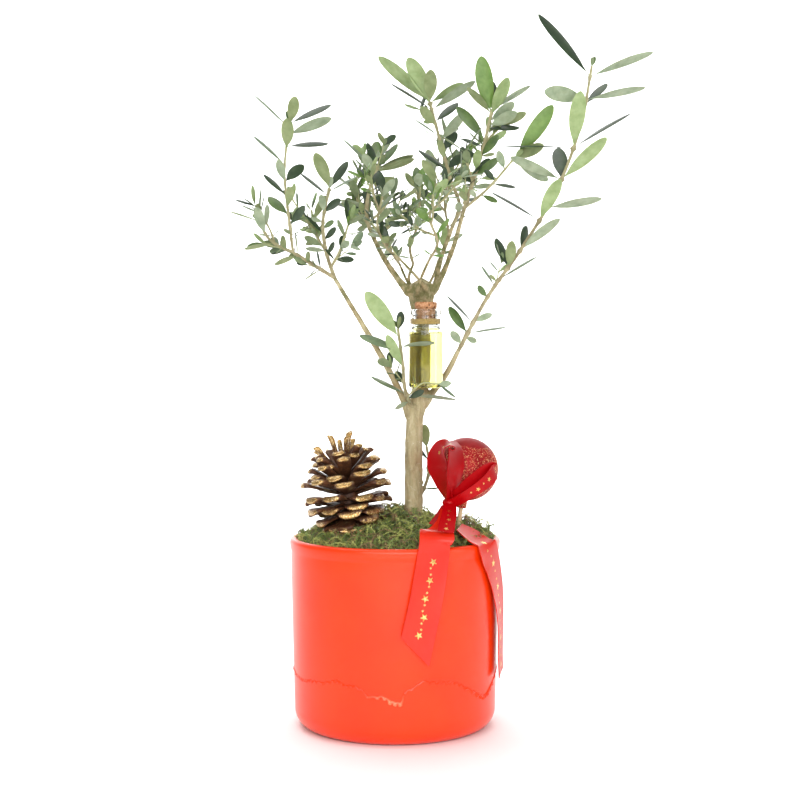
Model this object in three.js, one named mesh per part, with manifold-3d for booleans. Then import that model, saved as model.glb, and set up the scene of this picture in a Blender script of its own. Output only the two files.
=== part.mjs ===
// Young olive tree in a glazed cover pot, dressed for the winter holidays: a pine cone on the moss,
// a glass bauble on a pick with a ribbon bow, and a corked bottle of oil tied to the trunk.
// Units are millimetres. +Z is up, +X is to the right and -Y is the front.
// The origin is the centre of the pot's flat underside.
import * as THREE from 'three';
import { mergeVertices } from 'three/addons/utils/BufferGeometryUtils.js';
import Module from 'manifold-3d';

const wasm = await Module();
wasm.setup();

// ---------------------------------------------------------------- driving dimensions

const CLEARANCE = 0.3; // between neighbouring pieces
const SLIVER = 0.06; // facets narrower than this are merged away

const POT = {
  height: 124,
  rimRadius: 69,
  neckRadius: 68.3, // just under the lip band
  bodyRadius: 65.8, // just above the foot's corner
  footRadius: 54,
  footCorner: 12,
  wall: 5.5,
  floor: 6,
  lipHeight: 8,
  segments: 40,
};

const SOIL_TOP = 113.5;
const MOSS = { edgeHeight: 119, crownHeight: 139, bump: 0.9, segments: 24, seed: 7 };
const MOSS_TUFT = { x: 53, y: -11, radius: 15, rise: 9 }; // a higher tuft beside the bauble

const TRUNK = {
  route: [
    [9.5, 2, SOIL_TOP - 6], [12, 2, 140], [13, 2, 200], [16.2, 2, 217], [17, 2, 250], [17.5, 2, 289],
  ],
  // [share of the height, radius]: root flare, shaft, then the swollen pruned head
  radii: [[0, 9], [0.08, 6.9], [0.2, 6], [0.5, 5.6], [0.86, 5.6], [0.96, 8.2], [1, 8.4]],
  sides: 10,
  steps: 15,
};
const HEAD = { x: 17.3, y: 2, radius: 8.2, top: 289 };

const LEAF = {
  thickness: 0.9,
  widthShare: { short: 0.39, long: 0.24 }, // width as a share of the length, at these lengths:
  lengths: { short: 12, long: 47 },
  widestShare: 0.56, // place of the widest point along the blade
  sink: 0.3, // how far the root runs past the middle of the twig
  curl: 0.1, // droop of the tip, of the length
};

// Boughs low on the trunk follow a route. Boughs of the head leave its side at an angle round the
// trunk (0 is +X, -90 is the front) and run to their tip with a bow outwards.
const LOW_BOUGHS = {
  bough_left_low: {
    route: [[12.4, 2, 198], [6, -2, 213], [-6, -5, 237], [-39, -14, 293]],
    radii: [2.6, 1.3],
  },
  bough_right_low: {
    route: [[14.5, 3, 207], [24, -0.5, 218], [33, -5, 230], [41, -14, 246]],
    radii: [2.6, 1.5],
  },
};
const HEAD_BOUGHS = {
  bough_crown_left: { turn: 190, from: 285, tip: [-17, 16, 327], bow: 3, radii: [2.4, 1.4] },
  bough_crown_middle: { turn: 152, from: 287, tip: [12, 11, 303], bow: 2, radii: [1.2, 0.9] },
  bough_crown_back_left: { turn: 114, from: 284, tip: [3, 27, 304], bow: 3, radii: [1.3, 0.9] },
  bough_crown_back: { turn: 72, from: 286, tip: [29, 33, 306], bow: 4, radii: [1.3, 0.9] },
  bough_crown_tall: { turn: 30, from: 285, tip: [38, 20, 328], bow: -1, radii: [2, 1.3] },
  bough_crown_right: { turn: -18, from: 286, tip: [44, -12, 335], bow: 2.5, radii: [2.1, 1.3] },
  bough_crown_front: { turn: -112, from: 282, tip: [22, -26, 304], bow: 3, radii: [1.2, 0.9] },
  bough_crown_front_left: { turn: -70, from: 286, tip: [4, -15, 304], bow: 2, radii: [1.2, 0.9] },
};

// Each mass of foliage grows from one stem that carries on from its bough's tip, or from the trunk's
// axis at the height `from`. A fork is a further shoot that leaves the stem at the share `at`.
// Most shoots follow the growth rule: `leaf` is the length of the first and the last leaves, `gap` the
// distance between leaf pairs, `bare` the leafless start, `turn` the first pair's angle round the shoot
// and `twigs` the chance of a side twig. A shoot that stands alone has its own `leaves` instead, each
// with its share of the shoot, its angle round it, its opening from it, its length and its roll.
const FOLIAGE = {
  foliage_left_outer: {
    on: 'bough_left_low', seed: 11, reach: 48,
    turn: 20, gap: 8.5, bare: 10, leaf: [12, 22], twigs: 0.25,
    stem: [[-62, -18, 307], [-80, -21, 317], [-87, -22, 329]],
    forks: [
      {
        at: 0.5, route: [[-68, -17, 330], [-71, -14, 362], [-68, -12, 392]],
        leaves: [
          [0.1, 200, 55, 14, 0], [0.216, 150, 55, 16, 110], [0.293, 339, 41, 20, -40],
          [0.348, 112, 40, 16, -25], [0.441, 8, 35, 20, -40], [0.549, 69, 37, 17, 20],
          [0.549, 209, 45, 19, 70], [0.679, 5, 43, 27, -25], [0.799, 95, 31, 22, -5],
          [0.822, 196, 70, 28, 30], [0.915, 187, 56, 30, -40], [0.962, 3, 47, 31, -15],
          [1, 110, 35, 20, -20], [1, 191, 54, 31, 35],
        ],
      },
    ],
  },
  foliage_left_inner: {
    on: 'bough_left_low', seed: 23, reach: 38,
    stem: [[-44, -8, 308], [-47, -3, 328], [-43, 3, 352]],
    leaves: [
      [0.268, 138, 61, 10, 120], [0.306, 25, 69, 14, 10], [0.434, 142, 69, 12, 115],
      [0.499, 9, 29, 16, -45], [0.554, 170, 53, 9, 100], [0.632, 29, 89, 9, 70], [0.729, 160, 36, 14, 95],
      [0.737, 67, 45, 13, 20], [0.917, 358, 55, 24, -30], [0.96, 160, 49, 21, 40], [1, 48, 37, 25, 20],
      [1, 160, 23, 22, 80],
    ],
    forks: [
      {
        at: 0.12, route: [[-35, -17, 311], [-30, -21, 326]],
        turn: 30, gap: 6.5, bare: 6, leaf: [11, 17], twigs: 0.2,
      },
      {
        at: 0.3, route: [[-51, 2, 321], [-55, 8, 338]],
        turn: 50, gap: 7, bare: 6, leaf: [12, 19], twigs: 0.2,
      },
    ],
  },
  foliage_right_tall: {
    on: 'bough_right_low', seed: 5, reach: 62,
    stem: [[59, -25, 280], [81, -34, 312], [102, -42, 348], [116, -48, 388], [122, -50, 422]],
    leaves: [
      [0.023, 22, 60, 13, 90], [0.05, 147, 76, 10, -95], [0.063, 202, 53, 26, -15],
      [0.065, 6, 58, 21, -40], [0.103, 353, 66, 24, 5], [0.108, 201, 39, 13, -110],
      [0.201, 21, 71, 10, -75], [0.243, 331, 68, 17, 5], [0.268, 215, 22, 28, -25],
      [0.316, 328, 62, 23, -20], [0.316, 32, 26, 19, 45], [0.383, 185, 12, 32, -50],
      [0.383, 287, 43, 21, 25], [0.494, 54, 15, 31, 35], [0.494, 359, 85, 35, -5],
      [0.541, 200, 50, 35, -45], [0.639, 289, 54, 34, -25], [0.639, 171, 22, 38, -40],
      [0.639, 8, 87, 36, 45], [0.742, 46, 20, 37, 45], [0.742, 191, 35, 41, 0], [0.742, 354, 101, 46, -5],
      [0.882, 224, 41, 24, 5], [0.895, 23, 87, 31, 70], [0.895, 188, 63, 38, -25], [0.967, 4, 45, 50, -40],
      [0.967, 190, 54, 43, -30],
    ],
    forks: [],
  },
  foliage_crown_left: {
    on: 'bough_crown_left', seed: 31, reach: 42,
    stem: [[-19, 18, 337], [-17, 18, 353], [-11, 17, 369]],
    leaves: [
      [0.123, 197, 105, 13, 65], [0.263, 340, 62, 9, -60], [0.331, 14, 74, 18, 25],
      [0.381, 301, 23, 12, -30], [0.469, 188, 71, 17, 50], [0.684, 159, 60, 18, -40],
      [0.867, 25, 57, 16, 75], [0.877, 166, 45, 28, -20], [0.89, 358, 62, 30, -10],
      [0.927, 336, 39, 20, -25], [0.93, 178, 42, 26, -25], [0.94, 211, 17, 22, 15],
    ],
    forks: [
      {
        at: 0.02, route: [[-23, 22, 340], [-27, 25, 353]],
        turn: 10, gap: 6, bare: 4, leaf: [9, 16], twigs: 0.2,
      },
      {
        at: 0.1, route: [[-10, 12, 337], [-3, 8, 346]],
        turn: 60, gap: 6, bare: 4, leaf: [9, 16], twigs: 0.2,
      },
    ],
  },
  foliage_crown_front_left: {
    on: 'bough_crown_front_left', seed: 37, reach: 36,
    turn: 40, gap: 8, bare: 3, leaf: [8, 20], twigs: 0.3, radii: [0.9, 0.7],
    stem: [[-5, -20, 312], [-11, -25, 325], [-8, -27, 344]],
    forks: [],
  },
  foliage_crown_middle: {
    on: 'bough_crown_middle', seed: 41, reach: 36,
    turn: 0, gap: 7, bare: 4, leaf: [8, 20], twigs: 0.3, radii: [0.9, 0.7],
    stem: [[10, 14, 314], [16, 17, 333], [15, 19, 354]],
    forks: [],
  },
  foliage_crown_tall: {
    on: 'bough_crown_tall', seed: 43, reach: 48,
    stem: [[43, 22, 342], [37, 21, 360], [29, 16, 388], [23, 12, 409]],
    leaves: [
      [0.12, 80, 60, 12, 20], [0.12, 250, 60, 12, 0], [0.273, 21, 56, 12, 35], [0.353, 184, 51, 17, 25],
      [0.459, 339, 35, 25, -5], [0.484, 203, 65, 15, 70], [0.551, 68, 15, 15, 20],
      [0.622, 207, 52, 17, 60], [0.704, 176, 55, 24, -50], [0.737, 345, 34, 19, 0],
      [0.822, 37, 30, 18, 60], [0.85, 203, 65, 22, 30], [0.945, 173, 67, 34, -40], [0.945, 346, 37, 32, 0],
      [1, 346, 28, 45, 55], [1, 33, 7, 33, 45], [1, 194, 70, 26, -50], [1, 121, 29, 25, -35],
    ],
    forks: [],
  },
  foliage_crown_right: {
    on: 'bough_crown_right', seed: 47, reach: 48,
    stem: [[50, -12, 354], [57, -9, 377], [63, -6, 402]],
    leaves: [
      [0.1, 60, 60, 12, 20], [0.1, 240, 60, 12, 0], [0.231, 161, 59, 14, -35], [0.271, 344, 53, 13, -60],
      [0.361, 198, 26, 16, 75], [0.361, 139, 50, 19, 105], [0.398, 71, 46, 17, 20],
      [0.519, 353, 72, 13, -65], [0.546, 122, 41, 18, 120], [0.637, 354, 75, 15, -45],
      [0.704, 16, 52, 28, -85], [0.812, 194, 65, 22, 40], [0.84, 155, 57, 21, -40],
      [0.887, 156, 44, 20, -40], [0.937, 119, 22, 27, 0], [0.96, 36, 33, 37, -120], [0.96, 24, 55, 23, 10],
      [1, 306, 18, 23, -30], [1, 172, 39, 29, -10],
    ],
    forks: [
      {
        at: 0.04, route: [[60, -25, 350], [76, -36, 368]],
        leaves: [
          [0.233, 25, 72, 8, 110], [0.313, 205, 69, 12, 20], [0.529, 202, 52, 15, -5],
          [0.586, 336, 90, 11, -60], [0.782, 17, 58, 14, 90], [0.955, 177, 75, 26, -80],
          [0.957, 182, 22, 22, -100], [1, 291, 9, 39, -15],
        ],
      },
      {
        at: 0.3, route: [[47, -16, 364], [45, -19, 373]],
        turn: 0, gap: 7, bare: 4, leaf: [12, 19], twigs: 0,
      },
      {
        at: 0.5, route: [[60, -4, 382], [69, 0, 392]],
        turn: 45, gap: 7.5, bare: 4, leaf: [13, 21], twigs: 0,
      },
    ],
  },
  foliage_crown_back: {
    on: 'bough_crown_back', seed: 53, reach: 44,
    turn: 30, gap: 11, bare: 4, leaf: [9, 28], twigs: 0.25, radii: [0.9, 0.7],
    stem: [[36, 43, 323], [34, 54, 350], [40, 58, 378]],
    forks: [],
  },
  foliage_crown_back_left: {
    on: 'bough_crown_back_left', seed: 59, reach: 44,
    turn: 0, gap: 11, bare: 4, leaf: [9, 26], twigs: 0.25, radii: [0.9, 0.7],
    stem: [[-6, 37, 319], [-10, 46, 344], [-17, 52, 372]],
    forks: [],
  },
  foliage_crown_front: {
    on: 'bough_crown_front', seed: 61, reach: 36,
    turn: 20, gap: 8, bare: 4, leaf: [8, 20], twigs: 0.25, radii: [0.9, 0.7],
    stem: [[27, -37, 314], [22, -43, 329], [26, -46, 350]],
    forks: [],
  },
  foliage_trunk_shoot: {
    on: 'trunk', from: 203, seed: 67, reach: 44,
    stem: [[7, -9, 219], [5, -14, 238], [2, -17, 260]],
    leaves: [
      [0.211, 9, 74, 11, 75], [0.296, 162, 101, 32, -50], [0.303, 342, 41, 26, 15],
      [0.424, 304, 55, 12, -35], [0.596, 10, 22, 25, 60], [0.762, 4, 54, 29, -35],
      [0.807, 132, 79, 35, -20], [0.905, 14, 27, 38, 80], [0.985, 247, 48, 17, 25],
    ],
    forks: [],
  },
  foliage_base_sprig: {
    on: 'trunk', from: 148, seed: 71, reach: 26,
    turn: 0, gap: 8, bare: 12, leaf: [12, 20], twigs: 0,
    stem: [[20, 13, 156], [23, 16, 168], [21, 16, 182]],
    forks: [],
  },
};
const STEM_RADII = [1.3, 0.8];
const FORK_RADII = [1, 0.7];
const TWIG = { radii: [0.8, 0.55], length: [14, 26], angle: 42, bare: 5, gap: 6, leafShare: 0.72, lift: 0.2 };
const LEAF_ANGLE = { first: 54, last: 30, jitter: 14, roll: 32 };
const LEAF_MISSING = 0.07; // share of leaves that have dropped

const CONE = { middle: [-31, -18, 159.5], radius: 32.5, halfHeight: 36, lean: 9, scales: 36, seed: 3 };
const BAUBLE = { middle: [46, -22, 170], radius: 20.3, neckRadius: 3.4, neckLength: 5 };
const PICK = { radius: 1.4, foot: [38.5, -17, SOIL_TOP + 1] };
const RIBBON = { width: 21, thickness: 1 };
const BOTTLE = {
  x: 20, y: -14.9, foot: 222, radius: 11, shoulder: 258, neckRadius: 8.2, neckFrom: 262.5, lipFrom: 268.6,
  lipRadius: 10, mouth: 272.8, wall: 1.2, boreRadius: 6.6, oilTop: 256.9, corkTop: 277.4, corkIn: 264,
};
const TIE = { from: 263, to: 267, wall: 1 };

// ---------------------------------------------------------------- solids and their helpers

const vector = ([x, y, z]) => new THREE.Vector3(x, y, z);
const routeCurve = (route) => new THREE.CatmullRomCurve3(route.map(vector));
const radians = THREE.MathUtils.degToRad;
const mix = THREE.MathUtils.lerp;

/** A repeatable stream of numbers from 0 to 1. */
function seededRandom(seed) {
  let state = seed >>> 0;
  return () => {
    state = (state + 0x6d2b79f5) >>> 0;
    let word = Math.imul(state ^ (state >>> 15), state | 1);
    word ^= word + Math.imul(word ^ (word >>> 7), word | 61);
    return ((word ^ (word >>> 14)) >>> 0) / 4294967296;
  };
}

/** A geometry whose faces share their corners. */
function welded(geometry) {
  const surface = new THREE.BufferGeometry();
  surface.setAttribute('position', geometry.getAttribute('position').clone());
  if (geometry.index) surface.setIndex(geometry.index.clone());
  return mergeVertices(surface, 1e-4);
}

/** The solid inside a closed three.js geometry. */
function toSolid(geometry) {
  const merged = welded(geometry);
  const corners = merged.index.array;
  const triangles = [];
  for (let i = 0; i < corners.length; i += 3) {
    const [a, b, c] = corners.slice(i, i + 3);
    if (a !== b && b !== c && c !== a) triangles.push(a, b, c);
  }
  return new wasm.Manifold(new wasm.Mesh({
    numProp: 3,
    vertProperties: Float32Array.from(merged.getAttribute('position').array),
    triVerts: Uint32Array.from(triangles),
  }));
}

/** The three.js geometry of a solid's surface. */
function toGeometry(solid) {
  const { vertProperties, triVerts } = solid.getMesh();
  const geometry = new THREE.BufferGeometry();
  geometry.setAttribute('position', new THREE.BufferAttribute(vertProperties, 3));
  geometry.setIndex(new THREE.BufferAttribute(triVerts, 1));
  geometry.computeVertexNormals();
  return geometry;
}

const join = (solids) => solids.reduce((whole, solid) => whole.add(solid));

/** The largest body of a solid: loose scrap and sealed hollows are left behind. */
function mainBody(solid) {
  const bodies = solid.simplify(SLIVER).decompose();
  return bodies.reduce((best, body) => (body.volume() > best.volume() ? body : best));
}

/** Moves each point of a geometry to where `place(x, y, z)` says. */
function reshape(geometry, place) {
  const position = geometry.getAttribute('position');
  for (let i = 0; i < position.count; i++) {
    const moved = place(position.getX(i), position.getY(i), position.getZ(i));
    position.setXYZ(i, moved.x, moved.y, moved.z);
  }
  return geometry;
}

/** A closed tapering limb along a curve, with the radius at each share of its length. */
function limb(curve, radiusAt, sides, steps) {
  const frames = curve.computeFrenetFrames(steps, false);
  const geometry = new THREE.CylinderGeometry(1, 1, 1, sides, steps);
  return toSolid(reshape(geometry, (x, y, z) => {
    const step = Math.round((y + 0.5) * steps);
    const radius = radiusAt(step / steps);
    return curve.getPointAt(step / steps)
      .addScaledVector(frames.binormals[step], x * radius)
      .addScaledVector(frames.normals[step], z * radius);
  }));
}

/** A radius that runs through [share, radius] stops. */
function radiusThrough(stops) {
  return (share) => {
    const next = Math.max(1, stops.findIndex(([at]) => at >= share));
    const [fromShare, fromRadius] = stops[next - 1];
    const [toShare, toRadius] = stops[next];
    return mix(fromRadius, toRadius, THREE.MathUtils.smoothstep(share, fromShare, toShare));
  };
}

const taper = ([first, last], extra = 0) => (share) => mix(first, last, share) + extra;

/** A solid of revolution about Z from a profile of [radius, height] points. */
function lathe(profile, segments) {
  const points = profile.map(([radius, height]) => new THREE.Vector2(radius, height));
  return new THREE.LatheGeometry(points, segments).rotateX(Math.PI / 2);
}

/** Points on a quarter ellipse, from the angle 0 at its side to 90 at its top. */
function quarterArc([x, z], [radiusX, radiusZ], fromAngle, toAngle, steps) {
  return Array.from({ length: steps + 1 }, (_, i) => {
    const angle = radians(mix(fromAngle, toAngle, i / steps));
    return [x + radiusX * Math.cos(angle), z + radiusZ * Math.sin(angle)];
  });
}

const model = new THREE.Group();
const solids = new Map();

/** Puts a finished solid in the model as a named piece with its own material. */
function addPiece(name, solid, color, roughness, metalness = 0) {
  const material = new THREE.MeshStandardMaterial({ color, roughness, metalness });
  const mesh = new THREE.Mesh(toGeometry(solid), material);
  mesh.name = name;
  model.add(mesh);
  solids.set(name, solid);
}

/** True where a solid comes closer to any other named piece than the clearance. */
function touches(solid, ownName) {
  const box = solid.boundingBox();
  for (const [name, other] of solids) {
    const otherBox = other.boundingBox();
    const apart = [0, 1, 2].some((axis) => box.min[axis] > otherBox.max[axis] + CLEARANCE
      || box.max[axis] < otherBox.min[axis] - CLEARANCE);
    if (name !== ownName && !apart && solid.minGap(other, 2 * CLEARANCE) < CLEARANCE) return true;
  }
  return false;
}

// ---------------------------------------------------------------- pot, soil and moss

function buildPot() {
  const { height, rimRadius, neckRadius, bodyRadius, footRadius, footCorner, wall, floor, lipHeight } = POT;
  const lipFoot = height - lipHeight;
  const inner = rimRadius - wall;
  const profile = [
    [0, 0],
    ...quarterArc([footRadius, footCorner], [bodyRadius - footRadius, footCorner], -90, 0, 4),
    [neckRadius - 0.6, height * 0.7],
    [neckRadius, lipFoot - 2.5],
    [neckRadius - 0.1, lipFoot - 0.6],
    [rimRadius - 0.2, lipFoot + 2.5],
    ...quarterArc([rimRadius - wall / 2, height - wall / 2], [wall / 2, wall / 2], 0, 180, 5),
    [inner - 0.8, lipFoot - 6],
    [inner - 2.6, floor + 8],
    [inner - 8, floor],
    [0, floor],
  ];
  addPiece('pot', toSolid(lathe(profile, POT.segments)), 0xff4b28, 0.25);
}

function buildSoil() {
  const foot = POT.floor + CLEARANCE;
  const inner = POT.rimRadius - POT.wall - CLEARANCE;
  const profile = [
    [0, foot],
    [inner - 8.3, foot],
    [inner - 2.8, foot + 8],
    [inner - 1, SOIL_TOP - 4],
    [inner - 1, SOIL_TOP],
    [0, SOIL_TOP],
  ];
  addPiece('soil', toSolid(lathe(profile, 28)), 0x3a2a1e, 0.95);
}

/** Height of the moss mound over a point, before its bumps. */
function mossHeight(x, y) {
  const share = Math.hypot(x, y) / (POT.rimRadius - POT.wall);
  const fromTuft = Math.hypot(x - MOSS_TUFT.x, y - MOSS_TUFT.y) / MOSS_TUFT.radius;
  const mound = mix(MOSS.crownHeight, MOSS.edgeHeight, share ** 1.15);
  return mound + MOSS_TUFT.rise * Math.exp(-(fromTuft ** 2));
}

function buildMoss(cutters) {
  const random = seededRandom(MOSS.seed);
  const edge = POT.rimRadius - POT.wall - 1.2;
  const foot = SOIL_TOP + CLEARANCE;
  const rings = [1, 0.92, 0.76, 0.6, 0.42, 0.24, 0];
  const top = rings.map((share) => [edge * share, MOSS.edgeHeight]);
  const profile = [[0, foot], [edge - 0.6, foot], ...top];
  const mound = welded(lathe(profile, MOSS.segments));
  reshape(mound, (x, y, z) => {
    const onTop = z > foot + 1;
    const bump = Math.hypot(x, y) < edge - 1 ? MOSS.bump * (2 * random() - 1) : 0;
    return new THREE.Vector3(x, y, onTop ? mossHeight(x, y) + bump : z);
  });
  const body = cutters.reduce((left, cutter) => left.subtract(cutter), toSolid(mound));
  addPiece('moss', mainBody(body), 0x5d6b2c, 0.95);
}

// ---------------------------------------------------------------- trunk and boughs

const boughTips = new Map();

function buildTrunk() {
  const curve = routeCurve(TRUNK.route);
  const radiusAt = radiusThrough(TRUNK.radii);
  const ground = new THREE.BoxGeometry(60, 60, 20).translate(TRUNK.route[0][0], 0, SOIL_TOP + CLEARANCE - 10);
  const wood = limb(curve, radiusAt, TRUNK.sides, TRUNK.steps).subtract(toSolid(ground));
  addPiece('trunk', mainBody(wood), 0xa3957a, 0.9);
  const taller = routeCurve([...TRUNK.route.slice(0, -1), [HEAD.x + 0.2, HEAD.y, HEAD.top + 3]]);
  return limb(taller, (share) => radiusAt(share) + CLEARANCE + 0.1, TRUNK.sides, TRUNK.steps);
}

function headBoughRoute({ turn, from, tip, bow }) {
  const outward = new THREE.Vector3(Math.cos(radians(turn)), Math.sin(radians(turn)), 0);
  const axis = new THREE.Vector3(HEAD.x, HEAD.y, from);
  const side = axis.clone().addScaledVector(outward, HEAD.radius);
  const middle = side.clone().lerp(vector(tip), 0.5).addScaledVector(outward, bow);
  return [axis.setZ(from - 3).toArray(), side.toArray(), middle.toArray(), tip];
}

function buildBough(name, route, radii, fatTrunk) {
  const curve = routeCurve(route);
  const wood = limb(curve, taper(radii), 6, 7).subtract(fatTrunk);
  addPiece(name, mainBody(wood), 0xa3957a, 0.9);
  boughTips.set(name, { tip: curve.getPoint(1), ahead: curve.getTangent(1), radius: radii[1] });
}

// ---------------------------------------------------------------- foliage

const blend = (a, shareA, b, shareB) => a.clone().multiplyScalar(shareA).addScaledVector(b, shareB);

/** Two directions across a shoot: `front` towards -Y and `side` along the picture plane. */
function crossways(tangent) {
  const front = new THREE.Vector3(0, -1, 0);
  front.addScaledVector(tangent, -front.dot(tangent)).normalize();
  return { front, side: front.clone().cross(tangent) };
}

/** A blade of eight faces with the given base, direction, upper side and length. */
function leafSolid({ base, axis, face, length }) {
  const across = axis.clone().cross(face);
  const { short, long } = LEAF.lengths;
  const slimness = THREE.MathUtils.clamp((length - short) / (long - short), 0, 1);
  const width = length * mix(LEAF.widthShare.short, LEAF.widthShare.long, slimness);
  const widest = length * LEAF.widestShare;
  return toSolid(reshape(new THREE.SphereGeometry(1, 4, 2), (x, y, z) => {
    const along = x < 0 ? mix(widest, -LEAF.sink, -x) : mix(widest, length, x);
    const droop = LEAF.curl * length * (along / length) ** 2;
    return base.clone()
      .addScaledVector(axis, along)
      .addScaledVector(across, z * (width / 2))
      .addScaledVector(face, y * (LEAF.thickness / 2) - droop);
  }));
}

/** A leaf that opens from a shoot by the angle `spread` and is rolled about its own midrib. */
function openedLeaf(base, tangent, outward, spread, length, roll) {
  const axis = blend(tangent, Math.cos(spread), outward, Math.sin(spread));
  const face = tangent.clone().addScaledVector(axis, -tangent.dot(axis)).normalize();
  return { base, axis, face: face.applyAxisAngle(axis, roll), length };
}

/** One leaf of a shoot that has its own leaves. */
function ownLeaf(curve, [at, turn, spread, length, roll]) {
  const tangent = curve.getTangentAt(at);
  const { front, side } = crossways(tangent);
  const outward = blend(side, Math.cos(radians(turn)), front, Math.sin(radians(turn)));
  return openedLeaf(curve.getPointAt(at), tangent, outward, radians(spread), length, radians(roll));
}

/**
 * The growth rule: leaf pairs stand crosswise up the shoot, a quarter turn from pair to pair, and
 * lengthen from `leaf[0]` to `leaf[1]`. Here and there a twig with its own pairs takes a leaf's place.
 */
function growShoot(route, habit, random) {
  const curve = routeCurve(route);
  if (habit.leaves) {
    const leaves = habit.leaves.map((leaf) => ownLeaf(curve, leaf));
    return [{ curve, radii: habit.radii, twig: habit.twig, leaves }];
  }
  const length = curve.getLength();
  const pairs = Math.max(1, Math.floor((length - habit.bare) / habit.gap) + 1);
  const shoots = [{ curve, radii: habit.radii, twig: habit.twig, leaves: [] }];
  for (let pair = 0; pair < pairs; pair++) {
    const share = pairs > 1 ? pair / (pairs - 1) : 1;
    const at = mix(habit.bare / length, 0.985, share);
    const base = curve.getPointAt(at);
    const tangent = curve.getTangentAt(at);
    const { front, side } = crossways(tangent);
    const turn = radians(habit.turn + 90 * pair + 24 * (random() - 0.5));
    for (const half of [0, Math.PI]) {
      const [fate, open, roll, size] = [random(), random(), random(), random()];
      const outward = blend(side, Math.cos(turn + half), front, Math.sin(turn + half));
      const opening = mix(LEAF_ANGLE.first, LEAF_ANGLE.last, share);
      const spread = radians(opening + LEAF_ANGLE.jitter * (2 * open - 1));
      if (fate < habit.twigs && share > 0.1 && share < 0.85) {
        shoots.push(...growTwig(base, tangent, outward, habit, size, random));
      } else if (fate < 1 - LEAF_MISSING) {
        const leafLength = mix(habit.leaf[0], habit.leaf[1], share) * mix(0.84, 1.16, size);
        const leafRoll = radians(LEAF_ANGLE.roll) * (2 * roll - 1);
        shoots[0].leaves.push(openedLeaf(base, tangent, outward, spread, leafLength, leafRoll));
      }
    }
  }
  return shoots;
}

/** A short side twig from a shoot, with smaller leaves. */
function growTwig(base, tangent, outward, habit, size, random) {
  const angle = radians(TWIG.angle);
  const reach = mix(TWIG.length[0], TWIG.length[1], size);
  const axis = blend(tangent, Math.cos(angle), outward, Math.sin(angle));
  const middle = base.clone().addScaledVector(axis, reach / 2);
  const tip = base.clone().addScaledVector(axis, reach).addScaledVector(tangent, reach * TWIG.lift);
  const twigHabit = {
    turn: 90 * size, gap: TWIG.gap, bare: TWIG.bare, radii: TWIG.radii, twigs: 0, twig: true,
    leaf: habit.leaf.map((length) => length * TWIG.leafShare),
  };
  return growShoot([base.toArray(), middle.toArray(), tip.toArray()], twigHabit, random);
}

/** All shoots of a mass: its stem, its forks and their twigs. */
function growMass(mass) {
  const random = seededRandom(mass.seed);
  const start = mass.on === 'trunk' ? [15, 2, mass.from] : boughTips.get(mass.on).tip.toArray();
  const habit = { radii: STEM_RADII, ...mass, twig: false };
  const stem = routeCurve([start, ...mass.stem]);
  const shoots = growShoot([start, ...mass.stem], habit, random);
  for (const fork of mass.forks) {
    const forkHabit = { ...fork, radii: FORK_RADII, twig: false };
    shoots.push(...growShoot([stem.getPointAt(fork.at).toArray(), ...fork.route], forkHabit, random));
  }
  return { stem, shoots };
}

/** The wood of a mass, cut clear of the limb that it grows on. A twig that touches a limb is left out. */
function massWood(name, shoots, guards) {
  const kept = [];
  let wood = null;
  for (const shoot of shoots) {
    const steps = Math.max(2, Math.round(shoot.curve.getLength() / 12));
    const solid = limb(shoot.curve, taper(shoot.radii), 3, shoot.twig ? 2 : steps);
    if (shoot.twig && touches(solid, name)) continue;
    wood = wood ? wood.add(solid) : solid;
    kept.push(shoot);
  }
  return { wood: guards.reduce((left, guard) => left.subtract(guard), wood), kept };
}

/** Fuses each leaf that stays inside the mass's space and touches no other piece. */
function addLeaves(name, mass, { kept, wood }) {
  const middles = kept.filter((shoot) => !shoot.twig).flatMap((shoot) => shoot.curve.getSpacedPoints(12));
  let body = wood;
  for (const leaf of kept.flatMap((shoot) => shoot.leaves)) {
    const tip = leaf.base.clone().addScaledVector(leaf.axis, leaf.length);
    const inside = middles.some((point) => point.distanceTo(tip) < mass.reach);
    const blade = leafSolid(leaf);
    if (inside && !touches(blade, name)) body = body.add(blade);
  }
  return mainBody(body);
}

function buildFoliage(fatTrunk) {
  const grown = new Map();
  const stemGuards = [];
  for (const [name, mass] of Object.entries(FOLIAGE)) {
    const growth = growMass(mass);
    const bough = boughTips.get(mass.on);
    const guards = [fatTrunk, ...stemGuards];
    if (bough) guards.push(boughGuard(bough));
    const { wood, kept } = massWood(name, growth.shoots, guards);
    grown.set(name, { kept, wood: mainBody(wood) });
    solids.set(name, mainBody(wood));
    stemGuards.push(limb(growth.stem, taper(STEM_RADII, CLEARANCE + 0.2), 6, 8));
  }
  for (const [name, mass] of Object.entries(FOLIAGE)) {
    addPiece(name, addLeaves(name, mass, grown.get(name)), 0x6f8f5a, 0.6);
  }
}

/** The tip of a bough, made fatter and longer by the clearance. */
function boughGuard({ tip, ahead: forward, radius }) {
  const back = tip.clone().addScaledVector(forward, -6).toArray();
  const ahead = tip.clone().addScaledVector(forward, CLEARANCE + 0.1).toArray();
  return limb(routeCurve([back, ahead]), () => radius + CLEARANCE + 0.2, 9, 1);
}

// ---------------------------------------------------------------- decorations

/** The pine cone's own frame: its middle, leaning to the left. */
function coneFrame() {
  return new THREE.Matrix4().makeRotationY(radians(-CONE.lean)).setPosition(...CONE.middle);
}

/** An egg around the whole cone, grown by `extra`. */
function coneEnvelope(extra) {
  const egg = new THREE.SphereGeometry(1, 20, 12).rotateX(Math.PI / 2);
  egg.scale(CONE.radius + extra, CONE.radius + extra, CONE.halfHeight + extra).applyMatrix4(coneFrame());
  return toSolid(egg);
}

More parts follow.
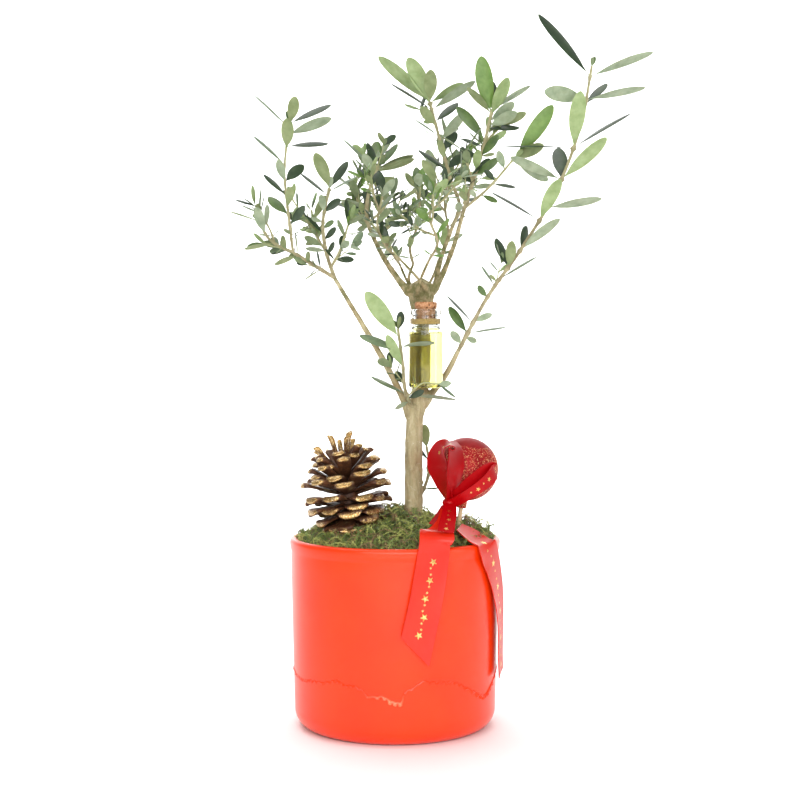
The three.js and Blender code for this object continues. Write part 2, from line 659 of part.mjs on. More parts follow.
/** Open woody scales in a spiral round a spindle, each reaching out to the cone's egg shape. */
function buildPineCone() {
  const random = seededRandom(CONE.seed);
  const { radius, halfHeight } = CONE;
  const spindle = lathe([[0, -28], [6, -26], [7.5, -8], [5.5, 8], [2.5, 20], [0, 22]], 8);
  const parts = [toSolid(spindle)];
  const goldenTurn = Math.PI * (3 - Math.sqrt(5));
  for (let i = 0; i < CONE.scales; i++) {
    const share = i / (CONE.scales - 1);
    const tilt = radians(mix(-28, 82, share ** 0.75) + 8 * (random() - 0.5));
    const root = new THREE.Vector3(0, 0, mix(-23, 10, share ** 0.8));
    const out = new THREE.Vector3(
      Math.cos(i * goldenTurn) * Math.cos(tilt), Math.sin(i * goldenTurn) * Math.cos(tilt), Math.sin(tilt),
    );
    const length = rayToEgg(root, out, radius, halfHeight) - 1.8;
    parts.push(scaleSolid(root, out, length, mix(17, 6, share), mix(3.4, 3, share)));
  }
  const frame = coneFrame().toArray();
  addPiece('pine_cone', mainBody(join(parts).transform(frame)), 0x5a2f1c, 0.6);
}

/** Distance from `root` along `out` to the surface of the cone's egg. */
function rayToEgg(root, out, radius, halfHeight) {
  const squash = new THREE.Vector3(1 / radius, 1 / radius, 1 / halfHeight);
  const start = root.clone().multiply(squash);
  const step = out.clone().multiply(squash);
  const half = start.dot(step);
  return (-half + Math.sqrt(half * half - step.lengthSq() * (start.lengthSq() - 1))) / step.lengthSq();
}

/** A woody scale: narrow at the spindle, broad and thick at its rounded end. */
function scaleSolid(root, out, length, width, thickness) {
  const across = new THREE.Vector3(-out.y, out.x, 0).normalize();
  const up = out.clone().cross(across);
  return toSolid(reshape(new THREE.BoxGeometry(1, 1, 1), (x, y, z) => {
    const end = z > 0;
    const along = end ? length : 2;
    return root.clone()
      .addScaledVector(out, along)
      .addScaledVector(across, x * (end ? width * 0.84 : 4))
      .addScaledVector(up, y * (end ? thickness : 1.8));
  }));
}

const pickAxis = vector(PICK.foot).sub(vector(BAUBLE.middle)).normalize();

function buildBauble() {
  const ball = toSolid(new THREE.SphereGeometry(BAUBLE.radius, 20, 14).translate(...BAUBLE.middle));
  const from = vector(BAUBLE.middle).addScaledVector(pickAxis, BAUBLE.radius - 1);
  const to = vector(BAUBLE.middle).addScaledVector(pickAxis, BAUBLE.radius + BAUBLE.neckLength);
  const neck = limb(routeCurve([from.toArray(), to.toArray()]), () => BAUBLE.neckRadius, 12, 1);
  addPiece('bauble', ball.add(neck), 0xb81414, 0.3, 0.3);
}

function buildPick() {
  const start = BAUBLE.radius + BAUBLE.neckLength + CLEARANCE;
  const top = vector(BAUBLE.middle).addScaledVector(pickAxis, start).toArray();
  const curve = routeCurve([top, PICK.foot]);
  addPiece('bauble_pick', limb(curve, () => PICK.radius, 10, 1), 0xd9b98a, 0.7);
  const deeper = vector(PICK.foot).addScaledVector(pickAxis, 4).toArray();
  return limb(routeCurve([top, deeper]), () => PICK.radius + CLEARANCE + 0.1, 10, 1);
}

/** The direction at an angle `turn` round Z and `rise` above the level. */
function heading(turn, rise) {
  const level = new THREE.Vector3(Math.cos(radians(turn)), Math.sin(radians(turn)), 0);
  return level.multiplyScalar(Math.cos(radians(rise))).setZ(Math.sin(radians(rise)));
}

/** A strip of ribbon through stops of [x, y, z, turn of its width, rise of its width, share of width]. */
function ribbonSolid(stops, steps) {
  const centre = routeCurve(stops.map((stop) => stop.slice(0, 3)));
  const across = new THREE.CatmullRomCurve3(stops.map(([, , , turn, rise]) => heading(turn, rise)));
  const shares = new THREE.CatmullRomCurve3(stops.map((stop) => new THREE.Vector3(stop[5], 0, 0)));
  const geometry = new THREE.BoxGeometry(1, 1, 1, 1, 1, steps);
  return toSolid(reshape(geometry, (x, y, z) => {
    const share = z + 0.5;
    const tangent = centre.getTangent(share);
    const sideways = across.getPoint(share);
    sideways.addScaledVector(tangent, -sideways.dot(tangent)).normalize();
    const outward = tangent.clone().cross(sideways);
    return centre.getPoint(share)
      .addScaledVector(sideways, x * RIBBON.width * shares.getPoint(share).x)
      .addScaledVector(outward, y * RIBBON.thickness);
  }));
}

const LEFT_LOOP = [
  [34.5, -35, 151, 123, 0, 0.35], [30, -44, 162, 123, 0, 0.75], [26.5, -48, 174, 123, 0, 1],
  [28.5, -50.5, 183.5, 118, 0, 1], [33, -52.5, 188, 95, 0, 1], [37.5, -52, 186.5, 70, 0, 1],
  [38, -53.5, 176, 57, 0, 0.9], [37, -49, 163, 57, 0, 0.7], [35.5, -36, 151.5, 57, 0, 0.35],
];
const RIGHT_LOOP = [
  [36, -38, 150.5, -135, 60, 0.3], [43, -44.5, 159.5, -135, 60, 0.36], [51, -46.5, 166.5, -135, 60, 0.4],
  [58, -44, 170.5, -135, 60, 0.46], [62.5, -40.5, 170.5, -135, 60, 0.5],
  [60, -45.5, 166.5, -135, 60, 0.45], [52.5, -49.5, 160.5, -135, 60, 0.36],
  [44, -47, 154.5, -135, 60, 0.32], [36.5, -39, 149.5, -135, 60, 0.3],
];
const FRONT_TAIL = [
  [33.5, -37, 145, 8, 0, 0.42], [31, -46, 138.4, 8, 0, 0.45], [28.6, -53.5, 134.8, 10, 0, 0.6],
  [26.7, -60.5, 133.4, 16, 0, 1], [25.2, -65.6, 129.5, 20, 0, 1], [24.1, -65.6, 121, 20, 0, 1],
  [19.2, -68.4, 92, 16, 0, 1], [12.6, -70, 61, 10, 0, 1],
];
const SIDE_TAIL = [
  [41, -34, 134, 62, 0, 0.7], [48, -35.2, 129.4, 58, 0, 1], [54.9, -37, 125.1, 56, 0, 1],
  [57.4, -38, 123.9, 56, 0, 1], [58.7, -38.1, 121, 57, 0, 1], [62.5, -31.8, 111, 63, 0, 1],
  [66, -24, 96, 70, 0, 1], [68.3, -16.4, 72, 77, 0, 1], [69.1, -12.2, 36, 80, 0, 1],
];

function buildRibbons() {
  const knot = toSolid(new THREE.SphereGeometry(1, 10, 6).scale(4.6, 4.4, 3.8).translate(34.6, -36, 149.6));
  const bow = join([knot, ribbonSolid(LEFT_LOOP, 16), ribbonSolid(RIGHT_LOOP, 14)]);
  addPiece('ribbon_bow', mainBody(bow), 0xd01818, 0.35);
  addPiece('ribbon_tail_front', ribbonSolid(FRONT_TAIL, 16), 0xd01818, 0.35);
  addPiece('ribbon_tail_side', ribbonSolid(SIDE_TAIL, 16), 0xd01818, 0.35);
}

function buildBottle() {
  const b = BOTTLE;
  const glass = lathe([
    [0, b.foot], [b.radius - 1.5, b.foot], [b.radius, b.foot + 1.5], [b.radius, b.shoulder],
    [b.neckRadius, b.neckFrom], [b.neckRadius, b.lipFrom], [b.lipRadius, b.lipFrom + 1],
    [b.lipRadius, b.mouth - 1], [b.lipRadius - 1, b.mouth],
    [b.boreRadius, b.mouth], [b.boreRadius, b.neckFrom],
    [b.radius - b.wall, b.shoulder - 1], [b.radius - b.wall, b.foot + b.wall + 0.8], [0, b.foot + b.wall],
  ], 20);
  const oilRadius = b.radius - b.wall - CLEARANCE;
  const oilFoot = b.foot + b.wall + CLEARANCE + 0.8;
  const oil = lathe([[0, oilFoot], [oilRadius, oilFoot], [oilRadius, b.oilTop], [0, b.oilTop]], 20);
  const corkRadius = b.boreRadius - CLEARANCE;
  const cork = lathe([
    [0, b.corkIn], [corkRadius - 0.4, b.corkIn], [corkRadius, b.mouth], [corkRadius + 0.7, b.corkTop - 0.8],
    [corkRadius, b.corkTop], [0, b.corkTop],
  ], 16);
  const place = (geometry) => toSolid(geometry.translate(b.x, b.y, 0));
  addPiece('bottle_glass', place(glass), 0xdfe8d8, 0.05);
  addPiece('bottle_oil', place(oil), 0xd8d27a, 0.1);
  addPiece('bottle_cork', place(cork), 0xc98d5e, 0.85);
}

/** A band pulled tight round two circles: the trunk and the bottle's neck. */
function buildTie() {
  const trunk = { x: 17.1, y: 2, radius: 6.2 + CLEARANCE };
  const neck = { x: BOTTLE.x, y: BOTTLE.y, radius: BOTTLE.neckRadius + 2 * CLEARANCE };
  const towards = Math.atan2(neck.y - trunk.y, neck.x - trunk.x);
  const apart = Math.hypot(neck.x - trunk.x, neck.y - trunk.y);
  const outline = (shape, extra) => {
    const lean = Math.acos((neck.radius - trunk.radius) / apart);
    shape.absarc(neck.x, neck.y, neck.radius + extra, towards - lean, towards + lean, false);
    shape.absarc(trunk.x, trunk.y, trunk.radius + extra, towards + lean, towards - lean + 2 * Math.PI, false);
    shape.closePath();
    return shape;
  };
  const band = outline(new THREE.Shape(), TIE.wall);
  band.holes.push(outline(new THREE.Path(), 0));
  const depth = TIE.to - TIE.from;
  const geometry = new THREE.ExtrudeGeometry(band, { depth, bevelEnabled: false, curveSegments: 8 });
  addPiece('bottle_tie', toSolid(geometry.translate(0, 0, TIE.from)), 0xb88a3a, 0.7);
}

// ---------------------------------------------------------------- assembly

buildPot();
buildSoil();
const fatTrunk = buildTrunk();
for (const [name, { route, radii }] of Object.entries(LOW_BOUGHS)) buildBough(name, route, radii, fatTrunk);
for (const [name, bough] of Object.entries(HEAD_BOUGHS)) {
  buildBough(name, headBoughRoute(bough), bough.radii, fatTrunk);
}
buildPineCone();
buildBauble();
const fatPick = buildPick();
buildMoss([fatTrunk, fatPick, coneEnvelope(3 * CLEARANCE)]);
buildRibbons();
buildBottle();
buildTie();
buildFoliage(fatTrunk);

export default model;
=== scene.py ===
"""Potted olive tree dressed for the winter holidays, built round its frame.

Sizes and places are in millimetres, as in the frame's source, and become metres when a mesh is made.
+Z is up, +X is to the right and -Y is the front.
"""
import math
from dataclasses import dataclass, field

import bpy
import numpy as np
from mathutils import Matrix, Vector, noise


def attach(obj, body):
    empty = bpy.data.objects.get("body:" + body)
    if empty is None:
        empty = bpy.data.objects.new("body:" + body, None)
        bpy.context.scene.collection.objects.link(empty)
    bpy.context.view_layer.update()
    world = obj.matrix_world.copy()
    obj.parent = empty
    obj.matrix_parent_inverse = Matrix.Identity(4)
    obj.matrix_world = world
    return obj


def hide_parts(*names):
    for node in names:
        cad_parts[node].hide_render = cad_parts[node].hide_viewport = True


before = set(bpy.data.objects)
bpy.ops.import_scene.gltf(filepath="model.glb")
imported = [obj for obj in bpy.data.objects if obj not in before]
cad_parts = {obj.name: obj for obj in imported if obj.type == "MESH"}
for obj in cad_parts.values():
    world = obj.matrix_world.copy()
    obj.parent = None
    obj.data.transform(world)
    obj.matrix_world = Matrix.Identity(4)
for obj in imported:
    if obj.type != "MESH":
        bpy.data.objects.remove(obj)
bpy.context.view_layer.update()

MM = 0.001
BODY = "root"
GOLDEN_TURN = math.pi * (3 - math.sqrt(5))

# ---------------------------------------------------------------- driving dimensions

POT = dict(height=124, rim=69, neck=68.3, body=65.8, foot=54, corner=12, wall=5.5, floor=6, lip=8)
SOIL_TOP = 113.5
MOSS_HEIGHTS = (139, 119)  # on the pot's axis and at its rim
MOSS_TUFT = dict(x=53, y=-11, radius=15, rise=9)
MOSS_EDGE = 62.3

TRUNK_ROUTE = [
    (9.5, 2, SOIL_TOP - 1), (12, 2, 140), (13, 2, 200), (16.2, 2, 217), (17, 2, 250), (17.5, 2, 289),
]
TRUNK_RADII = [(0, 9), (0.08, 6.9), (0.2, 6), (0.5, 5.6), (0.86, 5.6), (0.96, 8.2), (1, 8.2)]
HEAD = dict(x=17.3, y=2, radius=8.2, top=289)

# A low bough follows a route. A bough of the head leaves its side at an angle round the trunk (0 is
# +X, -90 is the front) and runs to its tip with a bow outwards.
LOW_BOUGHS = {
    "bough_left_low": dict(route=[(12.4, 2, 198), (6, -2, 213), (-6, -5, 237), (-39, -14, 293)], radii=(2.6, 1.3)),
    "bough_right_low": dict(route=[(14.5, 3, 207), (24, -0.5, 218), (33, -5, 230), (41, -14, 246)], radii=(2.6, 1.5)),
}
HEAD_BOUGHS = {
    "bough_crown_left": dict(turn=190, start=285, tip=(-17, 16, 327), bow=3, radii=(2.4, 1.4)),
    "bough_crown_middle": dict(turn=152, start=287, tip=(12, 11, 303), bow=2, radii=(1.2, 0.9)),
    "bough_crown_back_left": dict(turn=114, start=284, tip=(3, 27, 304), bow=3, radii=(1.3, 0.9)),
    "bough_crown_back": dict(turn=72, start=286, tip=(29, 33, 306), bow=4, radii=(1.3, 0.9)),
    "bough_crown_tall": dict(turn=30, start=285, tip=(38, 20, 328), bow=-1, radii=(2, 1.3)),
    "bough_crown_right": dict(turn=-18, start=286, tip=(44, -12, 335), bow=2.5, radii=(2.1, 1.3)),
    "bough_crown_front": dict(turn=-112, start=282, tip=(22, -26, 304), bow=3, radii=(1.2, 0.9)),
    "bough_crown_front_left": dict(turn=-70, start=286, tip=(4, -15, 304), bow=2, radii=(1.2, 0.9)),
}

# The masses of foliage grow as in the frame's source: one stem from its bough's tip or from the trunk
# at the height `start`. A shoot has pairs of leaves `gap` apart after a `bare` start, and side twigs by
# chance, or its own leaves: (share of the shoot, angle round it, opening, length, roll, tone).
FOLIAGE = {
    "foliage_left_outer": dict(
        on="bough_left_low", seed=11, reach=48, turn=20, gap=8.5, bare=10, leaf=(12, 22), twigs=0.25,
        stem=[(-62, -18, 307), (-80, -21, 317), (-87, -22, 329)],
        forks=[dict(at=0.5, route=[(-68, -17, 330), (-71, -14, 362), (-68, -12, 392)], leaves=[
            (0.1, 200, 55, 14, 0, "d"), (0.216, 150, 55, 16, 110, "d"), (0.293, 339, 41, 20, -40, "o"),
            (0.348, 112, 40, 16, -25, "o"), (0.441, 8, 35, 20, -40, "d"), (0.549, 69, 37, 17, 20, "g"),
            (0.549, 209, 45, 19, 70, "d"), (0.679, 5, 43, 27, -25, "g"), (0.799, 95, 31, 22, -5, "o"),
            (0.822, 196, 70, 28, 30, "d"), (0.915, 187, 56, 30, -40, "g"), (0.962, 3, 47, 31, -15, "g"),
            (1, 110, 35, 20, -20, "o"), (1, 191, 54, 31, 35, "d"),
        ])],
    ),
    "foliage_left_inner": dict(
        on="bough_left_low", seed=23, reach=38, stem=[(-44, -8, 308), (-47, -3, 328), (-43, 3, 352)], leaves=[
            (0.268, 138, 61, 10, 120, "d"), (0.306, 25, 69, 14, 10, "g"), (0.434, 142, 69, 12, 115, "d"),
            (0.499, 9, 29, 16, -45, "d"), (0.554, 170, 53, 9, 100, "o"), (0.632, 29, 89, 9, 70, "g"),
            (0.729, 160, 36, 14, 95, "d"), (0.737, 67, 45, 13, 20, "g"), (0.917, 358, 55, 24, -30, "d"),
            (0.96, 160, 49, 21, 40, "g"), (1, 48, 37, 25, 20, "o"), (1, 160, 23, 22, 80, "d"),
        ],
        forks=[
            dict(at=0.12, route=[(-35, -17, 311), (-30, -21, 326)], turn=30, gap=6.5, bare=6, leaf=(11, 17), twigs=0.2),
            dict(at=0.3, route=[(-51, 2, 321), (-55, 8, 338)], turn=50, gap=7, bare=6, leaf=(12, 19), twigs=0.2),
        ],
    ),
    "foliage_right_tall": dict(
        on="bough_right_low", seed=5, reach=62, forks=[],
        stem=[(59, -25, 280), (81, -34, 312), (102, -42, 348), (116, -48, 388), (122, -50, 422)], leaves=[
            (0.023, 22, 60, 13, 90, "g"), (0.05, 147, 76, 10, -95, "g"), (0.063, 202, 53, 26, -15, "g"),
            (0.065, 6, 58, 21, -40, "o"), (0.103, 353, 66, 24, 5, "d"), (0.108, 201, 39, 13, -110, "g"),
            (0.201, 21, 71, 10, -75, "o"), (0.243, 331, 68, 17, 5, "g"), (0.268, 215, 22, 28, -25, "g"),
            (0.316, 328, 62, 23, -20, "d"), (0.316, 32, 26, 19, 45, "o"), (0.383, 185, 12, 32, -50, "g"),
            (0.383, 287, 43, 21, 25, "d"), (0.494, 54, 15, 31, 35, "f"), (0.494, 359, 85, 35, -5, "d"),
            (0.541, 200, 50, 35, -45, "g"), (0.639, 289, 54, 34, -25, "d"), (0.639, 171, 22, 38, -40, "f"),
            (0.639, 8, 87, 36, 45, "g"), (0.742, 46, 20, 37, 45, "f"), (0.742, 191, 35, 41, 0, "d"),
            (0.742, 354, 101, 46, -5, "d"), (0.882, 224, 41, 24, 5, "d"), (0.895, 23, 87, 31, 70, "g"),
            (0.895, 188, 63, 38, -25, "g"), (0.967, 4, 45, 50, -40, "d"), (0.967, 190, 54, 43, -30, "g"),
        ],
    ),
    "foliage_crown_left": dict(
        on="bough_crown_left", seed=31, reach=42, stem=[(-19, 18, 337), (-17, 18, 353), (-11, 17, 369)], leaves=[
            (0.123, 197, 105, 13, 65, "d"), (0.263, 340, 62, 9, -60, "d"), (0.331, 14, 74, 18, 25, "g"),
            (0.381, 301, 23, 12, -30, "d"), (0.469, 188, 71, 17, 50, "o"), (0.684, 159, 60, 18, -40, "o"),
            (0.867, 25, 57, 16, 75, "g"), (0.877, 166, 45, 28, -20, "o"), (0.89, 358, 62, 30, -10, "g"),
            (0.927, 336, 39, 20, -25, "d"), (0.93, 178, 42, 26, -25, "o"), (0.94, 211, 17, 22, 15, "o"),
        ],
        forks=[
            dict(at=0.02, route=[(-23, 22, 340), (-27, 25, 353)], turn=10, gap=6, bare=4, leaf=(9, 16), twigs=0.2),
            dict(at=0.1, route=[(-10, 12, 337), (-3, 8, 346)], turn=60, gap=6, bare=4, leaf=(9, 16), twigs=0.2),
        ],
    ),
    "foliage_crown_front_left": dict(
        on="bough_crown_front_left", seed=37, reach=36,
        turn=40, gap=8, bare=3, leaf=(8, 20), twigs=0.3, radii=(0.9, 0.7),
        stem=[(-5, -20, 312), (-11, -25, 325), (-8, -27, 344)], forks=[],
    ),
    "foliage_crown_middle": dict(
        on="bough_crown_middle", seed=41, reach=36,
        turn=0, gap=7, bare=4, leaf=(8, 20), twigs=0.3, radii=(0.9, 0.7),
        stem=[(10, 14, 314), (16, 17, 333), (15, 19, 354)], forks=[],
    ),
    "foliage_crown_tall": dict(
        on="bough_crown_tall", seed=43, reach=48, forks=[],
        stem=[(43, 22, 342), (37, 21, 360), (29, 16, 388), (23, 12, 409)], leaves=[
            (0.12, 80, 60, 12, 20, "g"), (0.12, 250, 60, 12, 0, "d"),
            (0.273, 21, 56, 12, 35, "g"), (0.353, 184, 51, 17, 25, "d"), (0.459, 339, 35, 25, -5, "d"),
            (0.484, 203, 65, 15, 70, "d"), (0.551, 68, 15, 15, 20, "o"), (0.622, 207, 52, 17, 60, "d"),
            (0.704, 176, 55, 24, -50, "g"), (0.737, 345, 34, 19, 0, "g"), (0.822, 37, 30, 18, 60, "o"),
            (0.85, 203, 65, 22, 30, "d"), (0.945, 173, 67, 34, -40, "g"), (0.945, 346, 37, 32, 0, "d"),
            (1, 346, 28, 45, 55, "f"), (1, 33, 7, 33, 45, "f"), (1, 194, 70, 26, -50, "f"), (1, 121, 29, 25, -35, "o"),
        ],
    ),
    "foliage_crown_right": dict(
        on="bough_crown_right", seed=47, reach=48, stem=[(50, -12, 354), (57, -9, 377), (63, -6, 402)], leaves=[
            (0.1, 60, 60, 12, 20, "o"), (0.1, 240, 60, 12, 0, "d"),
            (0.231, 161, 59, 14, -35, "g"), (0.271, 344, 53, 13, -60, "d"), (0.361, 198, 26, 16, 75, "d"),
            (0.361, 139, 50, 19, 105, "o"), (0.398, 71, 46, 17, 20, "f"), (0.519, 353, 72, 13, -65, "d"),
            (0.546, 122, 41, 18, 120, "o"), (0.637, 354, 75, 15, -45, "d"), (0.704, 16, 52, 28, -85, "o"),
            (0.812, 194, 65, 22, 40, "d"), (0.84, 155, 57, 21, -40, "g"), (0.887, 156, 44, 20, -40, "g"),
            (0.937, 119, 22, 27, 0, "f"), (0.96, 36, 33, 37, -120, "f"), (0.96, 24, 55, 23, 10, "o"),
            (1, 306, 18, 23, -30, "d"), (1, 172, 39, 29, -10, "g"),
        ],
        forks=[
            dict(at=0.04, route=[(60, -25, 350), (76, -36, 368)], leaves=[
                (0.233, 25, 72, 8, 110, "g"), (0.313, 205, 69, 12, 20, "o"), (0.529, 202, 52, 15, -5, "d"),
                (0.586, 336, 90, 11, -60, "d"), (0.782, 17, 58, 14, 90, "g"), (0.955, 177, 75, 26, -80, "g"),
                (0.957, 182, 22, 22, -100, "o"), (1, 291, 9, 39, -15, "f"),
            ]),
            dict(at=0.3, route=[(47, -16, 364), (45, -19, 373)], turn=0, gap=7, bare=4, leaf=(12, 19), twigs=0),
            dict(at=0.5, route=[(60, -4, 382), (69, 0, 392)], turn=45, gap=7.5, bare=4, leaf=(13, 21), twigs=0),
        ],
    ),
    "foliage_crown_back": dict(
        on="bough_crown_back", seed=53, reach=44,
        turn=30, gap=11, bare=4, leaf=(9, 28), twigs=0.25, radii=(0.9, 0.7),
        stem=[(36, 43, 323), (34, 54, 350), (40, 58, 378)], forks=[],
    ),
    "foliage_crown_back_left": dict(
        on="bough_crown_back_left", seed=59, reach=44,
        turn=0, gap=11, bare=4, leaf=(9, 26), twigs=0.25, radii=(0.9, 0.7),
        stem=[(-6, 37, 319), (-10, 46, 344), (-17, 52, 372)], forks=[],
    ),
    "foliage_crown_front": dict(
        on="bough_crown_front", seed=61, reach=36,
        turn=20, gap=8, bare=4, leaf=(8, 20), twigs=0.25, radii=(0.9, 0.7),
        stem=[(27, -37, 314), (22, -43, 329), (26, -46, 350)], forks=[],
    ),
    "foliage_trunk_shoot": dict(
        on="trunk", start=203, seed=67, reach=44, forks=[], stem=[(7, -9, 219), (5, -14, 238), (2, -17, 260)], leaves=[
            (0.211, 9, 74, 11, 75, "g"), (0.296, 162, 101, 32, -50, "g"), (0.303, 342, 41, 26, 15, "g"),
            (0.424, 304, 55, 12, -35, "d"), (0.596, 10, 22, 25, 60, "f"), (0.762, 4, 54, 29, -35, "g"),
            (0.807, 132, 79, 35, -20, "g"), (0.905, 14, 27, 38, 80, "f"), (0.985, 247, 48, 17, 25, "d"),
        ],
        finer=[dict(at=0.2, route=[(8.5, -19, 216), (13.5, -27.5, 222.5), (18.3, -30, 225.5), (27.4, -31, 224.9)], leaves=[
            (0.3, 200, 60, 12, 20, "d"), (0.62, 350, 50, 8, 30, "o"), (1, 180, 29, 14, 20, "g"),
        ])],
    ),
    "foliage_base_sprig": dict(
        on="trunk", start=148, seed=71, reach=26, turn=0, gap=8, bare=12, leaf=(12, 20), twigs=0,
        stem=[(20, 13, 156), (23, 16, 168), (21, 16, 182)], forks=[],
    ),
}
STEM_RADII = (1.3, 0.8)
FORK_RADII = (1, 0.7)
TWIG = dict(radii=(0.8, 0.55), length=(14, 26), angle=42, bare=5, gap=6, leaf_share=0.72, lift=0.2)
FINE_TWIG = dict(radii=(0.5, 0.3), length=(8, 15), angle=46, bare=3, gap=5, leaf=(7, 12), chance=0.2)
FINE_TWIG_LIMIT = 21  # a longer leaf has no twiglet in its axil
LEAF_ANGLE = dict(first=54, last=30, jitter=14, roll=32)
LEAF_MISSING = 0.07
LEAF = dict(petiole=0.08, thickness=0.3, curl=0.1, cup=0.16)
LEAF_WIDTHS = [(12, 0.39), (47, 0.24)]  # (length, width as a share of it)
# half the width of a blade at each share of its length, from the foot of its stalk to its round tip
LEAF_OUTLINE = [(0, 0.03), (0.08, 0.05), (0.16, 0.28), (0.26, 0.58), (0.38, 0.83), (0.5, 0.96), (0.62, 1), (0.74, 0.95),
                (0.85, 0.78), (0.93, 0.55), (0.98, 0.29), (1, 0.08)]

CONE = dict(middle=(-31, -18, 159.5), radius=32.5, half_height=36, lean=9, scales=74, fingers=9, seed=3)
BAUBLE = dict(middle=(46, -22, 170), radius=20.3, neck_radius=3.4, neck_length=5)
PICK = dict(radius=1.4, foot=(38.5, -17, SOIL_TOP + 1))
RIBBON = dict(width=21, thickness=0.5)
BOTTLE = dict(
    x=20, y=-14.9, foot=222, radius=11, shoulder=258, neck_radius=8.2, neck_from=262.5, lip_from=268.6,
    lip_radius=10, mouth=272.8, wall=1.2, bore_radius=6.6, oil_top=257.4, cork_top=277.4, cork_in=264,
)
TIE = dict(low=263, high=267, turns=5)

# ---------------------------------------------------------------- mesh and curve helpers


def seeded_random(seed):
    """A repeatable stream of numbers from 0 to 1, the same as in the frame's source."""
    mask = 0xFFFFFFFF
    state = seed & mask

    def draw():
        nonlocal state
        state = (state + 0x6D2B79F5) & mask
        word = ((state ^ (state >> 15)) * (state | 1)) & mask
        word ^= (word + (word ^ (word >> 7)) * (word | 61)) & mask
        return (word ^ (word >> 14)) / 4294967296

    return draw


def mix(low, high, share):
    return low + (high - low) * share


def smoothstep(x, low, high):
    t = np.clip((x - low) / (high - low), 0, 1)
    return t * t * (3 - 2 * t)


def unit(v):
    return v / np.maximum(np.linalg.norm(v, axis=-1, keepdims=True), 1e-12)


def turned(v, axis, angle):
    """A vector turned about a unit axis."""
    return (v * math.cos(angle) + np.cross(axis, v) * math.sin(angle)
            + axis * np.dot(axis, v) * (1 - math.cos(angle)))


class Curve:
    """A centripetal Catmull-Rom curve through its stops, as the frame's source draws them."""

    DIVISIONS = 200

    def __init__(self, stops):
        stops = np.asarray(stops, float)
        self.stops = np.vstack([2 * stops[0] - stops[1], stops, 2 * stops[-1] - stops[-2]])
        self.spans = len(stops) - 1
        self.shares = np.linspace(0, 1, self.DIVISIONS + 1)
        steps = np.linalg.norm(np.diff(self.point(self.shares), axis=0), axis=1)
        self.lengths = np.concatenate([[0], np.cumsum(steps)])
        self.length = self.lengths[-1]

    def point(self, t):
        t = np.clip(np.asarray(t, float), 0, 1) * self.spans
        span = np.minimum(t.astype(int), self.spans - 1)
        w = (t - span)[..., None]
        p = [self.stops[span + k] for k in range(4)]
        d0, d1, d2 = (np.sum((b - a) ** 2, axis=-1, keepdims=True) ** 0.25 for a, b in zip(p, p[1:]))
        d1 = np.where(d1 < 1e-4, 1, d1)
        d0 = np.where(d0 < 1e-4, d1, d0)
        d2 = np.where(d2 < 1e-4, d1, d2)
        t1 = ((p[1] - p[0]) / d0 - (p[2] - p[0]) / (d0 + d1) + (p[2] - p[1]) / d1) * d1
        t2 = ((p[2] - p[1]) / d1 - (p[3] - p[1]) / (d1 + d2) + (p[3] - p[2]) / d2) * d1
        cubic = 2 * p[1] - 2 * p[2] + t1 + t2
        return p[1] + t1 * w + (-3 * p[1] + 3 * p[2] - 2 * t1 - t2) * w**2 + cubic * w**3

    def tangent(self, t):
        ahead = self.point(np.clip(np.asarray(t) + 1e-4, 0, 1))
        behind = self.point(np.clip(np.asarray(t) - 1e-4, 0, 1))
        return unit(ahead - behind)

    def at(self, share):
        """The curve's parameter at a share of its length."""
        return np.interp(np.asarray(share) * self.length, self.lengths, self.shares)

    def point_at(self, share):
        return self.point(self.at(share))

    def tangent_at(self, share):
        return self.tangent(self.at(share))


class Surface:
    """Gathers points in millimetres and faces with their material numbers, then makes one object."""

    def __init__(self):
        self.points, self.faces, self.slots, self.shades, self.count = [], [], [], [], 0

    def add(self, points, faces, slot=0, shade=0.0):
        """Adds points (n, 3) and faces (m, 3 or 4). `shade` is a value at each point for its material."""
        points = np.asarray(points, float).reshape(-1, 3)
        faces = np.asarray(faces, int)
        self.points.append(points)
        self.faces.append(faces + self.count)
        self.slots.append(np.broadcast_to(slot, len(faces)))
        self.shades.append(np.broadcast_to(shade, len(points)))
        self.count += len(points)

    def more(self, faces, slot=0):
        """Adds faces on the points that are already there."""
        self.faces.append(np.asarray(faces, int))
        self.slots.append(np.broadcast_to(slot, len(faces)))

    def mesh(self, name, crease=40):
        mesh = bpy.data.meshes.new(name)
        points = np.concatenate(self.points) * MM
        corners = np.concatenate([faces.ravel() for faces in self.faces])
        totals = np.concatenate([np.full(len(faces), faces.shape[1]) for faces in self.faces])
        mesh.vertices.add(len(points))
        mesh.vertices.foreach_set("co", points.ravel())
        mesh.loops.add(len(corners))
        mesh.loops.foreach_set("vertex_index", corners)
        mesh.polygons.add(len(totals))
        mesh.polygons.foreach_set("loop_start", np.concatenate([[0], np.cumsum(totals)[:-1]]))
        mesh.polygons.foreach_set("material_index", np.concatenate(self.slots))
        shades = np.concatenate(self.shades)
        if shades.any():
            attribute = mesh.attributes.new("shade", "FLOAT", "POINT")
            attribute.data.foreach_set("value", shades.astype(np.float32))
        mesh.update(calc_edges=True)
        mesh.shade_smooth()
        mesh.set_sharp_from_angle(angle=math.radians(crease))
        return mesh

    def build(self, name, slot, materials, nodes, crease=40):
        """Makes the piece, which rides on the part and stands for the frame's nodes."""
        mesh = self.mesh(name, crease)
        for made in materials:
            mesh.materials.append(made)
        return place(bpy.data.objects.new(name, mesh), slot, nodes)


def place(piece, slot, nodes):
    bpy.context.scene.collection.objects.link(piece)
    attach(piece, BODY)
    if nodes:
        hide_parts(*nodes)
    return piece


